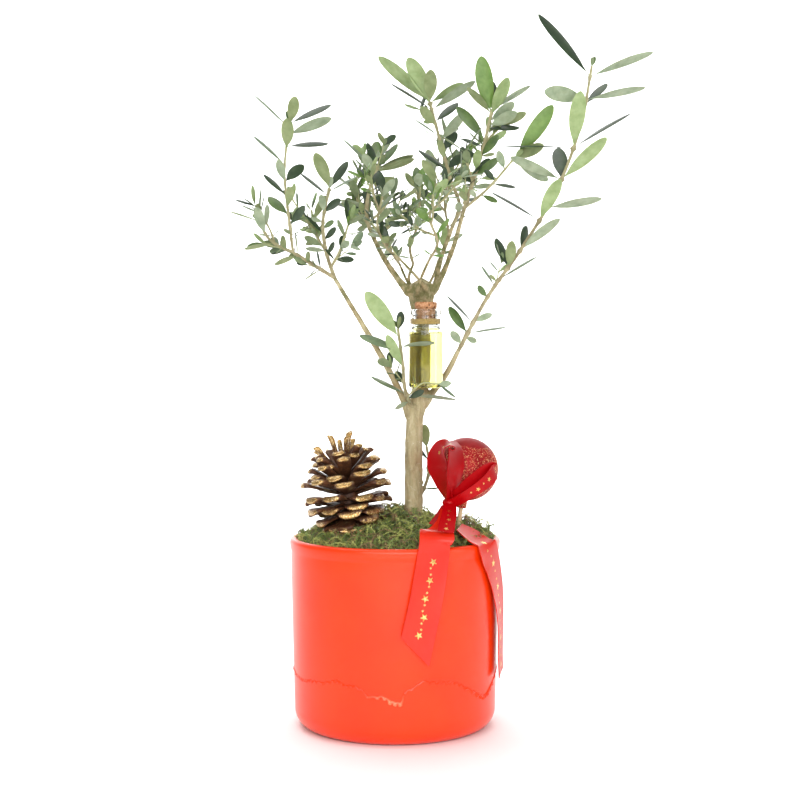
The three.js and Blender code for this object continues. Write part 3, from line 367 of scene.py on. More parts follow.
def grid_faces(rows, columns, wrap=False, start=0):
    """Quads of a grid of points, row by row, joined round each row if it wraps."""
    row = np.arange(rows - 1)[:, None] * columns
    column = np.arange(columns if wrap else columns - 1)[None, :]
    beside = (column + 1) % columns
    quads = [row + column, row + beside, row + columns + beside, row + columns + column]
    return np.stack(quads, -1).reshape(-1, 4) + start


def carried_frames(points):
    """Unit directions along and across a line of points, turned as little as possible on the way."""
    along = unit(np.gradient(points, axis=0))
    start = np.array([0, -1, 0]) if abs(along[0][1]) < 0.8 else np.array([1, 0, 0])
    across = [unit(start - along[0] * np.dot(start, along[0]))]
    for direction in along[1:]:
        across.append(unit(across[-1] - direction * np.dot(across[-1], direction)))
    across = np.array(across)
    return along, across, np.cross(along, across)


def add_tube(surface, points, radii, sides, slot=0, shade=0.0):
    """A closed tube along points, with a rounded end at its tip."""
    points = np.asarray(points, float)
    radii = np.broadcast_to(radii, len(points))
    along, across, beside = carried_frames(points)
    turns = np.linspace(0, 2 * math.pi, sides, endpoint=False)
    rim = np.cos(turns)[None, :, None] * across[:, None] + np.sin(turns)[None, :, None] * beside[:, None]
    rings = points[:, None] + rim * radii[:, None, None]
    ends = [points[0] - along[0] * radii[0] * 0.3, points[-1] + along[-1] * radii[-1] * 0.6]
    start = surface.count
    value = np.concatenate([np.repeat(np.broadcast_to(shade, len(points)), sides), [0, 0]])
    surface.add(np.vstack([rings.reshape(-1, 3), ends]), grid_faces(len(points), sides, True), slot, value)
    ring = np.arange(sides)
    after = (ring + 1) % sides
    first, last = start + len(points) * sides, start + len(points) * sides + 1
    tip = start + (len(points) - 1) * sides
    surface.more(np.stack([start + after, start + ring, np.full(sides, first)], -1), slot)
    surface.more(np.stack([tip + ring, tip + after, np.full(sides, last)], -1), slot)


def add_lathe(surface, profile, segments, slot=0, centre=(0, 0), matrix=None, shade=None):
    """A solid of revolution about Z from a closed profile of (radius, height) that starts and ends at r=0."""
    profile = np.asarray(profile, float)
    turns = np.linspace(0, 2 * math.pi, segments, endpoint=False)
    inner = profile[1:-1]
    rings = np.stack([
        inner[:, :1] * np.cos(turns) + centre[0], inner[:, :1] * np.sin(turns) + centre[1],
        np.repeat(inner[:, 1:], segments, 1),
    ], -1).reshape(-1, 3)
    ends = [(centre[0], centre[1], profile[0][1]), (centre[0], centre[1], profile[-1][1])]
    points = np.vstack([rings, ends])
    if matrix is not None:
        points = points @ np.array(matrix.to_3x3()).T + np.array(matrix.translation)
    start = surface.count
    values = 0.0 if shade is None else np.concatenate([np.repeat(shade[1:-1], segments), shade[:1], shade[-1:]])
    surface.add(points, grid_faces(len(inner), segments, True), slot, values)
    ring = np.arange(segments)
    after = (ring + 1) % segments
    top = start + (len(inner) - 1) * segments
    surface.more(np.stack([start + after, start + ring, np.full(segments, start + len(rings))], -1), slot)
    surface.more(np.stack([top + ring, top + after, np.full(segments, start + len(rings) + 1)], -1), slot)


def arc(x, z, radius_x, radius_z, first, last, steps):
    angles = np.radians(np.linspace(first, last, steps + 1))
    return [(x + radius_x * math.cos(a), z + radius_z * math.sin(a)) for a in angles]


def fractal(points, scale, octaves=4, seed=0.0):
    """Smooth noise from about -1 to 1 at each point, with features of about `scale` millimetres."""
    offset = Vector((seed, seed * 1.7, -seed))
    return np.array([noise.fractal(Vector(p) / scale + offset, 1.0, 2.0, octaves) for p in points])


# ---------------------------------------------------------------- materials


def colour(code):
    """A linear colour from an sRGB hex code."""
    parts = [int(code[i:i + 2], 16) / 255 for i in (0, 2, 4)]
    return tuple(c / 12.92 if c <= 0.04045 else ((c + 0.055) / 1.055) ** 2.4 for c in parts) + (1.0,)


class Finish:
    """A Principled material with its procedural nodes. Socket values are given by their names."""

    def __init__(self, name, **sockets):
        self.material = bpy.data.materials.new(name)
        self.material.use_nodes = True
        self.tree = self.material.node_tree
        self.shader = self.tree.nodes["Principled BSDF"]
        self.place = self.node("ShaderNodeTexCoord").outputs["Object"]
        for key, value in sockets.items():
            self.set(key.replace("_", " "), value)

    def set(self, socket, value):
        target = self.shader.inputs[socket]
        if isinstance(value, bpy.types.NodeSocket):
            self.tree.links.new(value, target)
        else:
            target.default_value = value

    def node(self, kind, inputs=None, **settings):
        made = self.tree.nodes.new(kind)
        for key, value in settings.items():
            setattr(made, key, value)
        for key, value in (inputs or {}).items():
            if isinstance(value, bpy.types.NodeSocket):
                self.tree.links.new(value, made.inputs[key])
            else:
                made.inputs[key].default_value = value
        return made

    def stretched(self, scale):
        return self.node("ShaderNodeMapping", {"Vector": self.place, "Scale": scale}).outputs["Vector"]

    def noise(self, size, detail=3, rough=0.6, stretch=(1, 1, 1), distortion=0.0):
        """Noise with features of about `size` millimetres."""
        return self.node("ShaderNodeTexNoise", {
            "Vector": self.stretched(stretch), "Scale": 1 / (size * MM), "Detail": detail, "Roughness": rough,
            "Distortion": distortion,
        }).outputs["Fac"]

    def cells(self, size, feature="F1", stretch=(1, 1, 1)):
        made = self.node("ShaderNodeTexVoronoi", {"Vector": self.stretched(stretch), "Scale": 1 / (size * MM)},
                         feature=feature)
        return made.outputs["Distance"]

    def shade(self):
        """The value that the mesh gives its points."""
        return self.node("ShaderNodeAttribute", attribute_name="shade").outputs["Fac"]

    def ramp(self, value, *stops):
        """Colours or grey levels along a value."""
        made = self.node("ShaderNodeValToRGB", {"Fac": value})
        elements = made.color_ramp.elements
        while len(elements) < len(stops):
            elements.new(0.5)
        for element, (position, level) in zip(elements, stops):
            element.position = position
            element.color = level if isinstance(level, tuple) else (level, level, level, 1)
        return made.outputs["Color"]

    def blend(self, share, first, second):
        made = self.node("ShaderNodeMix", data_type="RGBA")
        for index, value in ((0, share), (6, first), (7, second)):
            if isinstance(value, bpy.types.NodeSocket):
                self.tree.links.new(value, made.inputs[index])
            else:
                made.inputs[index].default_value = value
        return made.outputs[2]

    def span(self, value, low, high):
        return self.node("ShaderNodeMapRange", {"Value": value, "To Min": low, "To Max": high}).outputs["Result"]

    def relief(self, height, depth, strength=1.0):
        """Bump of a depth in millimetres. A second call lies on the first."""
        inputs = {"Height": height, "Distance": depth * MM, "Strength": strength}
        before = self.shader.inputs["Normal"].links
        if before:
            inputs["Normal"] = before[0].from_socket
        self.set("Normal", self.node("ShaderNodeBump", inputs).outputs["Normal"])


def glaze_finish():
    f = Finish("glaze_red", Specular_IOR_Level=0.4)
    red = f.ramp(f.noise(30, 4, 0.5), (0.35, colour("ee3604")), (0.65, colour("f23c06")))
    # The shade value blends in f0a070: a painted highlight on the front drops of the glaze line.
    f.set("Base Color", f.blend(f.shade(), red, colour("f0a070")))
    f.set("Roughness", f.span(f.noise(25, 2), 0.27, 0.29))
    f.relief(f.noise(5, 2, 0.5), 0.02, 0.3)
    return f.material


def soil_finish():
    f = Finish("soil_dark", Roughness=0.95)
    f.set("Base Color", f.ramp(f.noise(2.5, 5), (0.3, colour("1d140d")), (0.7, colour("4a3524"))))
    f.relief(f.noise(1.8, 5, 0.7), 1.2)
    return f.material


def moss_bed_finish():
    f = Finish("moss_bed", Roughness=0.95)
    f.set("Base Color", f.ramp(f.noise(3, 5, 0.7), (0.3, colour("151a0a")), (0.55, colour("343d1c")), (0.75, colour("54482a"))))
    f.relief(f.noise(1.2, 4, 0.7), 1.5)
    return f.material


def strand_finish(name, dark, light):
    f = Finish(name, Roughness=0.7, Sheen_Weight=0.2)
    f.set("Base Color", f.ramp(f.noise(4, 4, 0.7), (0.3, colour(dark)), (0.7, colour(light))))
    return f.material


def bark_finish():
    f = Finish("bark_olive", Roughness=0.85)
    streaks = f.noise(3.2, 6, 0.65, (1, 1, 0.22), 0.6)
    base = f.ramp(streaks, (0.25, colour("85775a")), (0.5, colour("b5a780")), (0.75, colour("d2c6a2")))
    speck = f.ramp(f.noise(1.6, 4, 0.7), (0.6, 0.0), (0.72, 1.0))
    lichen = f.blend(speck, base, colour("d7d0b4"))
    warm = f.ramp(f.noise(14, 3), (0.45, 0.0), (0.7, 0.55))
    wood = f.blend(warm, lichen, colour("a07c56"))
    height = f.node("ShaderNodeSeparateXYZ", {"Vector": f.place}).outputs["Z"]
    head = f.node("ShaderNodeMapRange", {"Value": height, "From Min": 0.262, "From Max": 0.28}).outputs["Result"]
    patches = f.ramp(f.noise(5, 4, 0.65), (0.4, 0.1), (0.56, 0.85))
    shaded = f.node("ShaderNodeMath", {0: head, 1: patches}, operation="MULTIPLY").outputs["Value"]
    f.set("Base Color", f.blend(shaded, wood, colour("67663a")))
    f.relief(f.noise(0.9, 5, 0.7, (1, 1, 0.35)), 0.35, 0.8)
    f.relief(f.cells(2.6, "F1", (1, 1, 0.4)), 0.25, 0.5)
    return f.material


def twig_finish():
    f = Finish("bark_twig", Roughness=0.75)
    tone = f.ramp(f.noise(5, 4), (0.35, colour("8a7f5e")), (0.65, colour("b3a884")))
    young = f.ramp(f.shade(), (0.2, 0.0), (0.9, 0.8))
    f.set("Base Color", f.blend(young, tone, colour("b2b786")))
    f.relief(f.noise(0.7, 4, 0.7), 0.2, 0.7)
    return f.material


def leaf_finish(name, dark, light, roughness, coat=0.0):
    f = Finish(name, Coat_Weight=coat, Coat_Roughness=0.3, Subsurface_Weight=0.08, Subsurface_Scale=0.4 * MM)
    f.set("Base Color", f.ramp(f.noise(7, 3, 0.6), (0.3, colour(dark)), (0.7, colour(light))))
    f.set("Roughness", f.span(f.noise(2, 3), roughness - 0.06, roughness + 0.08))
    f.relief(f.noise(0.8, 3, 0.6), 0.06, 0.5)
    return f.material


def cone_finish():
    f = Finish("cone_wood", Specular_IOR_Level=0.45)
    wood = f.ramp(f.noise(3.5, 5, 0.7, (1, 1, 1.6)), (0.25, colour("2a160c")), (0.5, colour("55321d")), (0.8, colour("835836")))
    weathered = f.ramp(f.noise(8, 4, 0.65), (0.58, 0.0), (0.68, 0.7))
    wood = f.blend(weathered, wood, colour("968663"))
    worn = f.node("ShaderNodeMath", {0: f.shade(), 1: f.span(f.noise(2.6, 5, 0.8), -1.0, 1.0)}, operation="ADD")
    gilding = f.ramp(worn.outputs["Value"], (0.58, 0.0), (0.68, 1.0))
    gold = f.ramp(f.noise(1.4, 5, 0.75), (0.32, colour("7d5a30")), (0.5, colour("b8935a")), (0.68, colour("f0dcae")))
    f.set("Base Color", f.blend(gilding, wood, gold))
    f.set("Metallic", f.span(gilding, 0.0, 0.85))
    f.set("Roughness", f.span(gilding, 0.5, 0.26))
    f.relief(f.noise(0.8, 4, 0.7), 0.3, 0.8)
    return f.material


def bauble_finish():
    f = Finish("bauble_satin", Metallic=0.3, Specular_IOR_Level=0.3)
    f.set("Base Color", f.ramp(f.noise(9, 3), (0.35, colour("8c0a10")), (0.65, colour("a81418"))))
    f.set("Roughness", f.span(f.noise(0.5, 2), 0.45, 0.55))
    f.relief(f.noise(0.35, 2), 0.03, 0.5)
    return f.material


def glitter_finish(name, dark, light, metallic):
    f = Finish(name, Metallic=metallic, Roughness=0.28)
    f.set("Base Color", f.ramp(f.noise(0.8, 2), (0.35, colour(dark)), (0.65, colour(light))))
    return f.material


def ribbon_finish(name, dark, light, specular):
    f = Finish(name, Anisotropic=0.4, Specular_IOR_Level=specular)
    f.set("Base Color", f.ramp(f.noise(24, 1), (0.3, colour(dark)), (0.7, colour(light))))
    f.set("Roughness", f.span(f.noise(0.4, 2, 0.5, (1, 1, 6)), 0.3, 0.4))
    weave = f.node("ShaderNodeTexWave", {"Vector": f.place, "Scale": 900, "Distortion": 0.3},
                   bands_direction="Z").outputs["Fac"]
    f.relief(weave, 0.03, 0.4)
    f.relief(f.noise(8, 2, 0.5), 0.2, 0.3)
    return f.material


def foil_finish():
    f = Finish("foil_gold", Metallic=1.0)
    f.set("Base Color", f.ramp(f.noise(1.2, 3), (0.3, colour("d9a648")), (0.7, colour("ffe49a"))))
    f.set("Roughness", f.span(f.noise(0.6, 3), 0.2, 0.38))
    f.relief(f.noise(0.7, 2), 0.05, 0.5)
    return f.material


def wood_finish():
    f = Finish("pick_wood", Roughness=0.7)
    f.set("Base Color", f.ramp(f.noise(2, 4, 0.6, (1, 1, 0.15)), (0.3, colour("c9a878")), (0.7, colour("efd9b4"))))
    f.relief(f.noise(0.6, 3, 0.6, (1, 1, 0.15)), 0.1)
    return f.material


def glass_finish():
    f = Finish("glass_clear", Transmission_Weight=1.0, IOR=1.45, Specular_IOR_Level=0.5)
    f.set("Base Color", f.ramp(f.noise(20, 2), (0.3, colour("f4faf2")), (0.7, colour("ffffff"))))
    f.set("Roughness", f.span(f.noise(8, 2), 0.0, 0.03))
    return f.material


def oil_finish():
    f = Finish("oil_olive", Transmission_Weight=1.0, IOR=1.12)
    f.set("Base Color", f.ramp(f.noise(16, 2), (0.3, colour("efe78e")), (0.7, colour("f5ee9c"))))
    f.set("Roughness", f.span(f.noise(10, 2), 0.0, 0.02))
    return f.material


def cork_finish():
    f = Finish("cork_grain", Roughness=0.85)
    grain = f.ramp(f.noise(1.4, 5, 0.75), (0.32, colour("7d4a2a")), (0.5, colour("bd8459")), (0.72, colour("dcb08a")))
    pores = f.ramp(f.cells(2.1), (0.2, 1.0), (0.36, 0.0))
    f.set("Base Color", f.blend(pores, grain, colour("4d2610")))
    f.relief(f.noise(0.9, 4, 0.7), 0.3)
    return f.material


def thread_finish():
    f = Finish("thread_ochre", Roughness=0.65, Sheen_Weight=0.4)
    f.set("Base Color", f.ramp(f.noise(0.8, 4), (0.3, colour("7a6024")), (0.7, colour("d2b468"))))
    f.relief(f.noise(0.3, 3), 0.06)
    return f.material


def stage_finish():
    f = Finish("stage_pale", Roughness=0.9)
    f.set("Base Color", f.ramp(f.noise(400, 2), (0.4, colour("f4f4f4")), (0.6, colour("f7f7f6"))))
    return f.material


# ---------------------------------------------------------------- pot, soil and moss


def glaze_run_line():
    """The raised edge of the glaze: a wandering line low round the pot, with drops at the front. Its pale share paints
    a highlight onto the drops that face the front.
    """
    # (degrees from the front towards the right, height) where the line turns, drawn by the glaze
    front = [
        (-75, 36), (-62, 35), (-52, 36.5), (-40.4, 37.4), (-32.6, 39), (-28.5, 37.2), (-21.7, 37.5),
        (-18.1, 35.7), (-13.7, 31.4), (-6.1, 31), (-1.5, 28.2), (3.3, 27.8), (5.3, 34.2), (10.7, 37.3),
        (14.8, 40.6), (20.6, 39.8), (28, 39.1), (34.3, 38), (44.7, 32.4), (59.2, 25.1), (70, 30), (80, 36),
    ]
    random = seeded_random(17)
    behind = [(turn, 33 + 8 * random()) for turn in range(90, 280, 9)]
    stops = [(math.radians(turn - 90), height) for turn, height in front + behind]
    closing = [(stops[0][0] + 2 * math.pi, stops[0][1])]
    heights = Curve([(turn * 40, height, 0) for turn, height in stops + closing])
    line = heights.point_at(np.linspace(0, 1, 1800))
    scallop = np.abs(np.sin(line[:, 0] / 0.8 + 1.6 * np.sin(line[:, 0] / 3.3)))
    slow = np.array([noise.noise(Vector((x / 9, 5, 0))) for x in line[:, 0]])
    drops = np.clip(1.25 - (line[:, 1] - 27) / 5, 0, 1)
    bead = 0.55 + 0.4 * (1 - scallop) + 0.7 * drops * (1 - 0.5 * scallop)
    turns = line[:, 0] / 40
    # Painted highlight: the drops that face the front get a pale share, which the glaze paints as a light orange
    # reflection.
    pale = 0.8 * drops * (1 - 0.6 * scallop) * np.exp(-((np.degrees(turns) + 94) / 11) ** 2)
    return turns, line[:, 1] + 1.1 * scallop + 0.8 * slow, bead, pale


def pot_radius(height):
    """Outer radius of the pot's side at a height above its rounded foot."""
    return np.interp(height, [POT["corner"], POT["height"] * 0.7, 113.5], [POT["body"], POT["neck"] - 0.6, POT["neck"]])


def build_pot():
    p = POT
    lip = p["height"] - p["lip"]
    inner = p["rim"] - p["wall"]
    side = [(mix(p["body"], p["neck"] - 0.6, s), mix(p["corner"], p["height"] * 0.7, s)) for s in np.linspace(0, 1, 12)[1:]]
    profile = [
        (0, 0), (20, 0), (40, 0), (p["foot"] - 3, 0),
        *arc(p["foot"], p["corner"], p["body"] - p["foot"], p["corner"], -90, 0, 12), *side,
        (p["neck"] - 0.2, lip - 10), (p["neck"], lip - 2.5), (p["neck"] - 0.12, lip - 1.2), (p["neck"] - 0.1, lip - 0.4),
        (p["neck"] + 0.15, lip + 0.6), (p["rim"] - 0.25, lip + 2), (p["rim"], lip + 3.5),
        *arc(p["rim"] - p["wall"] / 2, p["height"] - p["wall"] / 2, p["wall"] / 2, p["wall"] / 2, 0, 180, 14),
        (inner - 0.8, lip - 6), (inner - 2.6, p["floor"] + 8), (inner - 8, p["floor"]), (0, p["floor"]),
    ]
    surface = Surface()
    add_lathe(surface, profile, 180)
    turns, heights, beads, pale = glaze_run_line()
    radius = pot_radius(heights) - 0.25 * beads
    line = np.stack([radius * np.cos(turns), radius * np.sin(turns), heights], -1)
    # the pale share is a painted highlight on the front drops
    add_tube(surface, line, beads, 8, shade=pale)
    surface.build("pot_glazed", "glaze", [glaze_finish()], ["pot"])


def moss_height(x, y):
    """Height of the mound, with a higher tuft beside the bauble."""
    share = np.minimum(np.hypot(x, y) / (POT["rim"] - POT["wall"]), 1)
    tuft = MOSS_TUFT["rise"] * np.exp(-((x - MOSS_TUFT["x"]) ** 2 + (y - MOSS_TUFT["y"]) ** 2) / MOSS_TUFT["radius"] ** 2)
    return mix(MOSS_HEIGHTS[0], MOSS_HEIGHTS[1], share**1.15) + tuft


def build_moss():
    """A lumpy bed, with fronds of three colours that lie and stand over it in all directions."""
    bed = Surface()
    rings = np.linspace(1, 0, 32)
    profile = [(0, SOIL_TOP + 0.3), (MOSS_EDGE - 0.6, SOIL_TOP + 0.3)]
    profile += [(MOSS_EDGE * s, 120) for s in rings]
    add_lathe(bed, profile, 110)
    points = bed.points[0]
    top = points[:, 2] > SOIL_TOP + 1
    points[top, 2] = moss_height(points[top, 0], points[top, 1]) + 1.5 * fractal(points[top], 7, 3) - 1.6
    bed.build("moss_bed", "moss", [moss_bed_finish()], ["moss"])
    random = np.random.default_rng(7)
    kinds = [
        ("moss_green", 1400, strand_finish("moss_green", "435220", "83983f")),
        ("moss_yellow", 1150, strand_finish("moss_yellow", "8a9438", "cdd07a")),
        ("moss_brown", 750, strand_finish("moss_brown", "503d22", "a88a56")),
    ]
    for name, count, made in kinds:
        strands = Surface()
        for _ in range(count):
            add_frond(strands, random)
        strands.build(name, "moss", [made], ["moss"])


def add_frond(strands, random):
    """One stringy frond with small leaflets: it rises from the bed, arches over and lies down."""
    away = MOSS_EDGE * math.sqrt(random.random())
    turn = random.uniform(0, 2 * math.pi)
    start = np.array([away * math.cos(turn), away * math.sin(turn), 0])
    length = random.uniform(9, 21)
    heading = random.uniform(0, 2 * math.pi)
    bend = random.uniform(-1.5, 1.5)
    rise = random.uniform(0.5, 4) if random.random() < 0.68 else random.uniform(4, 10)
    steps = 7
    shares = np.linspace(0, 1, steps)
    headings = heading + bend * shares
    moves = np.stack([np.cos(headings), np.sin(headings), np.zeros(steps)], -1) * length / steps
    points = start + np.cumsum(moves, axis=0)
    reach = np.hypot(points[:, 0], points[:, 1])
    limit = MOSS_EDGE + random.uniform(-1, 3.5)
    points[:, :2] *= np.minimum(1, limit / np.maximum(reach, 1e-6))[:, None]
    points[:, 2] = moss_height(points[:, 0], points[:, 1]) - 1.2 + rise * np.sin(shares * math.pi * 0.75)
    add_tube(strands, points, np.linspace(0.42, 0.2, steps), 3)
    size = random.uniform(0.8, 1.5)
    for index in range(1, steps):
        for side in (-1, 1):
            add_leaflet(strands, points[index], points[index] - points[index - 1], side, size, random)
            middle = mix(points[index], points[index - 1], 0.5)
            add_leaflet(strands, middle, points[index] - points[index - 1], side, size, random)


def add_leaflet(strands, base, along, side, size, random):
    """A tiny pointed leaf of four faces beside a frond."""
    along = unit(along)
    across = unit(np.cross(along, (0, 0, 1))) * side
    lean = random.uniform(-0.4, 0.9)
    out = unit(along * 0.9 + across + np.array([0, 0, lean]))
    tip = base + out * size * random.uniform(1.2, 2.4)
    wide = unit(np.cross(out, (0, 0, 1))) * 0.3 * size
    points = [base - wide, base + wide, base + np.array([0, 0, 0.25]), tip]
    strands.add(points, [(0, 1, 2), (0, 3, 1), (1, 3, 2), (2, 3, 0)])


# ---------------------------------------------------------------- trunk and boughs


def head_bough_route(turn, start, tip, bow, **_):
    outward = np.array([math.cos(math.radians(turn)), math.sin(math.radians(turn)), 0])
    axis = np.array([HEAD["x"], HEAD["y"], start])
    side = axis + outward * HEAD["radius"]
    middle = (side + np.array(tip)) / 2 + outward * bow
    return [axis - np.array([0, 0, 3]), side, middle, tip]


def bough_curves():
    curves = {name: (Curve(bough["route"]), bough["radii"]) for name, bough in LOW_BOUGHS.items()}
    for name, bough in HEAD_BOUGHS.items():
        curves[name] = (Curve(head_bough_route(**bough)), bough["radii"])
    return curves


def trunk_radius(share):
    places, radii = zip(*TRUNK_RADII)
    step = np.clip(np.searchsorted(places, share), 1, len(places) - 1)
    low, high = np.array(places)[step - 1], np.array(places)[step]
    return mix(np.array(radii)[step - 1], np.array(radii)[step], smoothstep(share, low, high))


def build_bark(boughs):
    """Trunk and boughs fused into one skin, with collars, knots, ridges and old pruning scars."""
    wood = Surface()
    trunk = Curve(TRUNK_ROUTE)
    shares = np.linspace(0, 1, 90)
    add_tube(wood, trunk.point_at(shares), trunk_radius(shares), 28)
    for curve, radii in boughs.values():
        shares = np.linspace(0, 1, 30)
        collar = 1.5 * np.exp(-((shares * curve.length - 7) / 6) ** 2)
        add_tube(wood, curve.point_at(shares), mix(radii[0], radii[1], shares) + collar, 14)
    random = seeded_random(29)
    # (height, angle round the trunk, size) of the knots and the stubs of twigs that were cut away
    knots = [(131, -60, 3.2), (146, -120, 2.4), (158, -20, 2.2), (171, -80, 2), (187, -140, 2.6), (196, -30, 3),
             (208, -100, 3.4), (233, -70, 2.4), (246, 150, 2.8), (176, 95, 2.6), (150, 120, 2.4), (279, -95, 3.4)]
    for height, turn, size in knots:
        add_knot(wood, trunk, height, turn, size, random)
    mesh = remeshed(wood.mesh("bark_rough"), 0.55)
    roughen_bark(mesh)
    mesh.materials.append(bark_finish())
    piece = bpy.data.objects.new("bark", mesh)
    place(piece, "bark", ["trunk", *boughs])


def add_knot(wood, trunk, height, turn, size, random):
    """A low lump on the trunk's side."""
    share = (height - TRUNK_ROUTE[0][2]) / (TRUNK_ROUTE[-1][2] - TRUNK_ROUTE[0][2])
    outward = np.array([math.cos(math.radians(turn)), math.sin(math.radians(turn)), 0.25])
    middle = trunk.point_at(share)
    reach = trunk_radius(share) + size * 0.22
    tip = middle + unit(outward) * reach
    add_tube(wood, [middle, mix(middle, tip, 0.5), tip], [size, size, size * mix(0.45, 0.6, random())], 10)


def remeshed(mesh, voxel):
    """The outer skin of overlapping closed parts, on an even grid."""
    rough = bpy.data.objects.new("rough", mesh)
    bpy.context.scene.collection.objects.link(rough)
    skin = rough.modifiers.new("skin", "REMESH")
    skin.mode = "VOXEL"
    skin.voxel_size = voxel * MM
    smooth = rough.modifiers.new("smooth", "SMOOTH")
    smooth.iterations = 3
    evaluated = rough.evaluated_get(bpy.context.evaluated_depsgraph_get())
    result = bpy.data.meshes.new_from_object(evaluated)
    bpy.data.objects.remove(rough)
    return result


def roughen_bark(mesh):
    """Ridges along the trunk and small lumps, pushed along the normals."""
    count = len(mesh.vertices)
    points, normals = np.zeros(count * 3), np.zeros(count * 3)
    mesh.vertices.foreach_get("co", points)
    mesh.vertices.foreach_get("normal", normals)
    points, normals = points.reshape(-1, 3) / MM, normals.reshape(-1, 3)
    ridges = fractal(points * (1, 1, 0.22), 2.4, 4, 3.1)
    lumps = fractal(points, 6, 3, 8.4)
    away = np.hypot(points[:, 0] - 15, points[:, 1] - 2)
    thick = np.where((away < 11) & (points[:, 2] < 291), 1, 0.45)
    points += normals * (thick * (0.3 * ridges + 0.32 * lumps))[:, None]
    mesh.vertices.foreach_set("co", (points * MM).ravel())
    mesh.update()
    mesh.shade_smooth()


# ---------------------------------------------------------------- foliage


@dataclass
class Leaf:
    base: np.ndarray
    axis: np.ndarray
    face: np.ndarray
    length: float
    bend: float = 0.0
    tone: str = ""


@dataclass
class Shoot:
    curve: Curve
    radii: tuple
    order: int
    leaves: list = field(default_factory=list)
    nodes: list = field(default_factory=list)


def crossways(tangent):
    """Two directions across a shoot: towards the front, and along the picture plane."""
    front = np.array([0, -1.0, 0])
    front = unit(front - tangent * np.dot(front, tangent))
    return front, np.cross(front, tangent)


def set_leaves(shoot, rows):
    """The leaves that a shoot has by name instead of by the rule."""
    for at, turn, spread, length, roll, tone in rows:
        base, tangent = shoot.curve.point_at(at), shoot.curve.tangent_at(at)
        front, side = crossways(tangent)
        turn, spread = math.radians(turn), math.radians(spread)
        outward = side * math.cos(turn) + front * math.sin(turn)
        axis = tangent * math.cos(spread) + outward * math.sin(spread)
        face = turned(unit(tangent - axis * np.dot(tangent, axis)), axis, math.radians(roll))
        shoot.leaves.append(Leaf(base, axis, face, length, 0.4 * math.sin(7 * at + turn), tone))
        shoot.nodes.append(at)


def grow_shoot(route, habit, random):
    """The growth rule of the frame's source: crosswise leaf pairs that lengthen up the shoot."""
    curve = Curve(route)
    if "leaves" in habit:
        shoot = Shoot(curve, habit["radii"], habit["order"])
        set_leaves(shoot, habit["leaves"])
        return [shoot]
    pairs = max(1, math.floor((curve.length - habit["bare"]) / habit["gap"]) + 1)
    shoots = [Shoot(curve, habit["radii"], habit["order"])]
    for pair in range(pairs):
        share = pair / (pairs - 1) if pairs > 1 else 1
        at = mix(habit["bare"] / curve.length, 0.985, share)
        base, tangent = curve.point_at(at), curve.tangent_at(at)
        front, side = crossways(tangent)
        turn = math.radians(habit["turn"] + 90 * pair + 24 * (random() - 0.5))
        shoots[0].nodes.append(at)
        for half in (0, math.pi):
            fate, opening, roll, size = random(), random(), random(), random()
            outward = side * math.cos(turn + half) + front * math.sin(turn + half)
            spread = math.radians(mix(LEAF_ANGLE["first"], LEAF_ANGLE["last"], share)
                                  + LEAF_ANGLE["jitter"] * (2 * opening - 1))
            if fate < habit["twigs"] and 0.1 < share < 0.85:
                shoots += grow_twig(base, tangent, outward, habit, size, random)
            elif fate < 1 - LEAF_MISSING:
                axis = tangent * math.cos(spread) + outward * math.sin(spread)
                face = unit(tangent - axis * np.dot(tangent, axis))
                face = turned(face, axis, math.radians(LEAF_ANGLE["roll"]) * (2 * roll - 1))
                length = mix(*habit["leaf"], share) * mix(0.84, 1.16, size)
                shoots[0].leaves.append(Leaf(base, axis, face, length, roll - 0.5))
    return shoots


def grow_twig(base, tangent, outward, habit, size, random):
    """A short side twig with smaller leaves."""
    angle = math.radians(TWIG["angle"])
    reach = mix(*TWIG["length"], size)
    axis = tangent * math.cos(angle) + outward * math.sin(angle)
    route = [base, base + axis * reach / 2, base + axis * reach + tangent * reach * TWIG["lift"]]
    leaf = tuple(length * TWIG["leaf_share"] for length in habit["leaf"])
    twig_habit = dict(TWIG, turn=90 * size, twigs=0, order=habit["order"] + 1, leaf=leaf)
    return grow_shoot(route, twig_habit, random)


def grow_mass(mass, boughs):
    """A mass as in the frame's source, then finer twigs in its leaf axils and young tips."""
    random = seeded_random(mass["seed"])
    start = (15, 2, mass["start"]) if mass["on"] == "trunk" else boughs[mass["on"]][0].point(1.0)
    habit = {"radii": STEM_RADII, **mass, "order": 0}
    stem = Curve([start, *mass["stem"]])
    shoots = grow_shoot([start, *mass["stem"]], habit, random)
    for fork in mass["forks"]:
        fork_habit = dict(fork, radii=FORK_RADII, order=1)
        shoots += grow_shoot([stem.point_at(fork["at"]), *fork["route"]], fork_habit, random)
    for twig in mass.get("finer", []):
        twig_habit = dict(twig, radii=(0.7, 0.45), order=2)
        shoots += grow_shoot([stem.point_at(twig["at"]), *twig["route"]], twig_habit, random)
    middles = np.concatenate([s.curve.point_at(np.linspace(0, 1, 13)) for s in shoots if s.order < 2 and s.radii != TWIG["radii"]])
    finer = []
    for shoot in shoots:
        finer += grow_fine_twigs(shoot, random)
        grow_tip(shoot, random)
    return shoots + finer, middles


def grow_fine_twigs(shoot, random):
    """Twiglets with small leaves that stand in some of the leaf axils."""
    found = []
    for leaf in shoot.leaves[:-2]:
        chance, size, turn = random(), random(), random()
        if chance > FINE_TWIG["chance"] or leaf.length > FINE_TWIG_LIMIT:
            continue
        tangent = unit(leaf.axis + leaf.face)
        reach = mix(*FINE_TWIG["length"], size)
        axis = unit(leaf.axis * 0.7 + leaf.face * 0.7)
        route = [leaf.base, leaf.base + axis * reach / 2, leaf.base + axis * reach + tangent * reach * 0.15]
        habit = dict(FINE_TWIG, turn=180 * turn, twigs=0, order=3)
        made = grow_shoot(route, habit, random)
        grow_tip(made[0], random)
        found += made
    return found


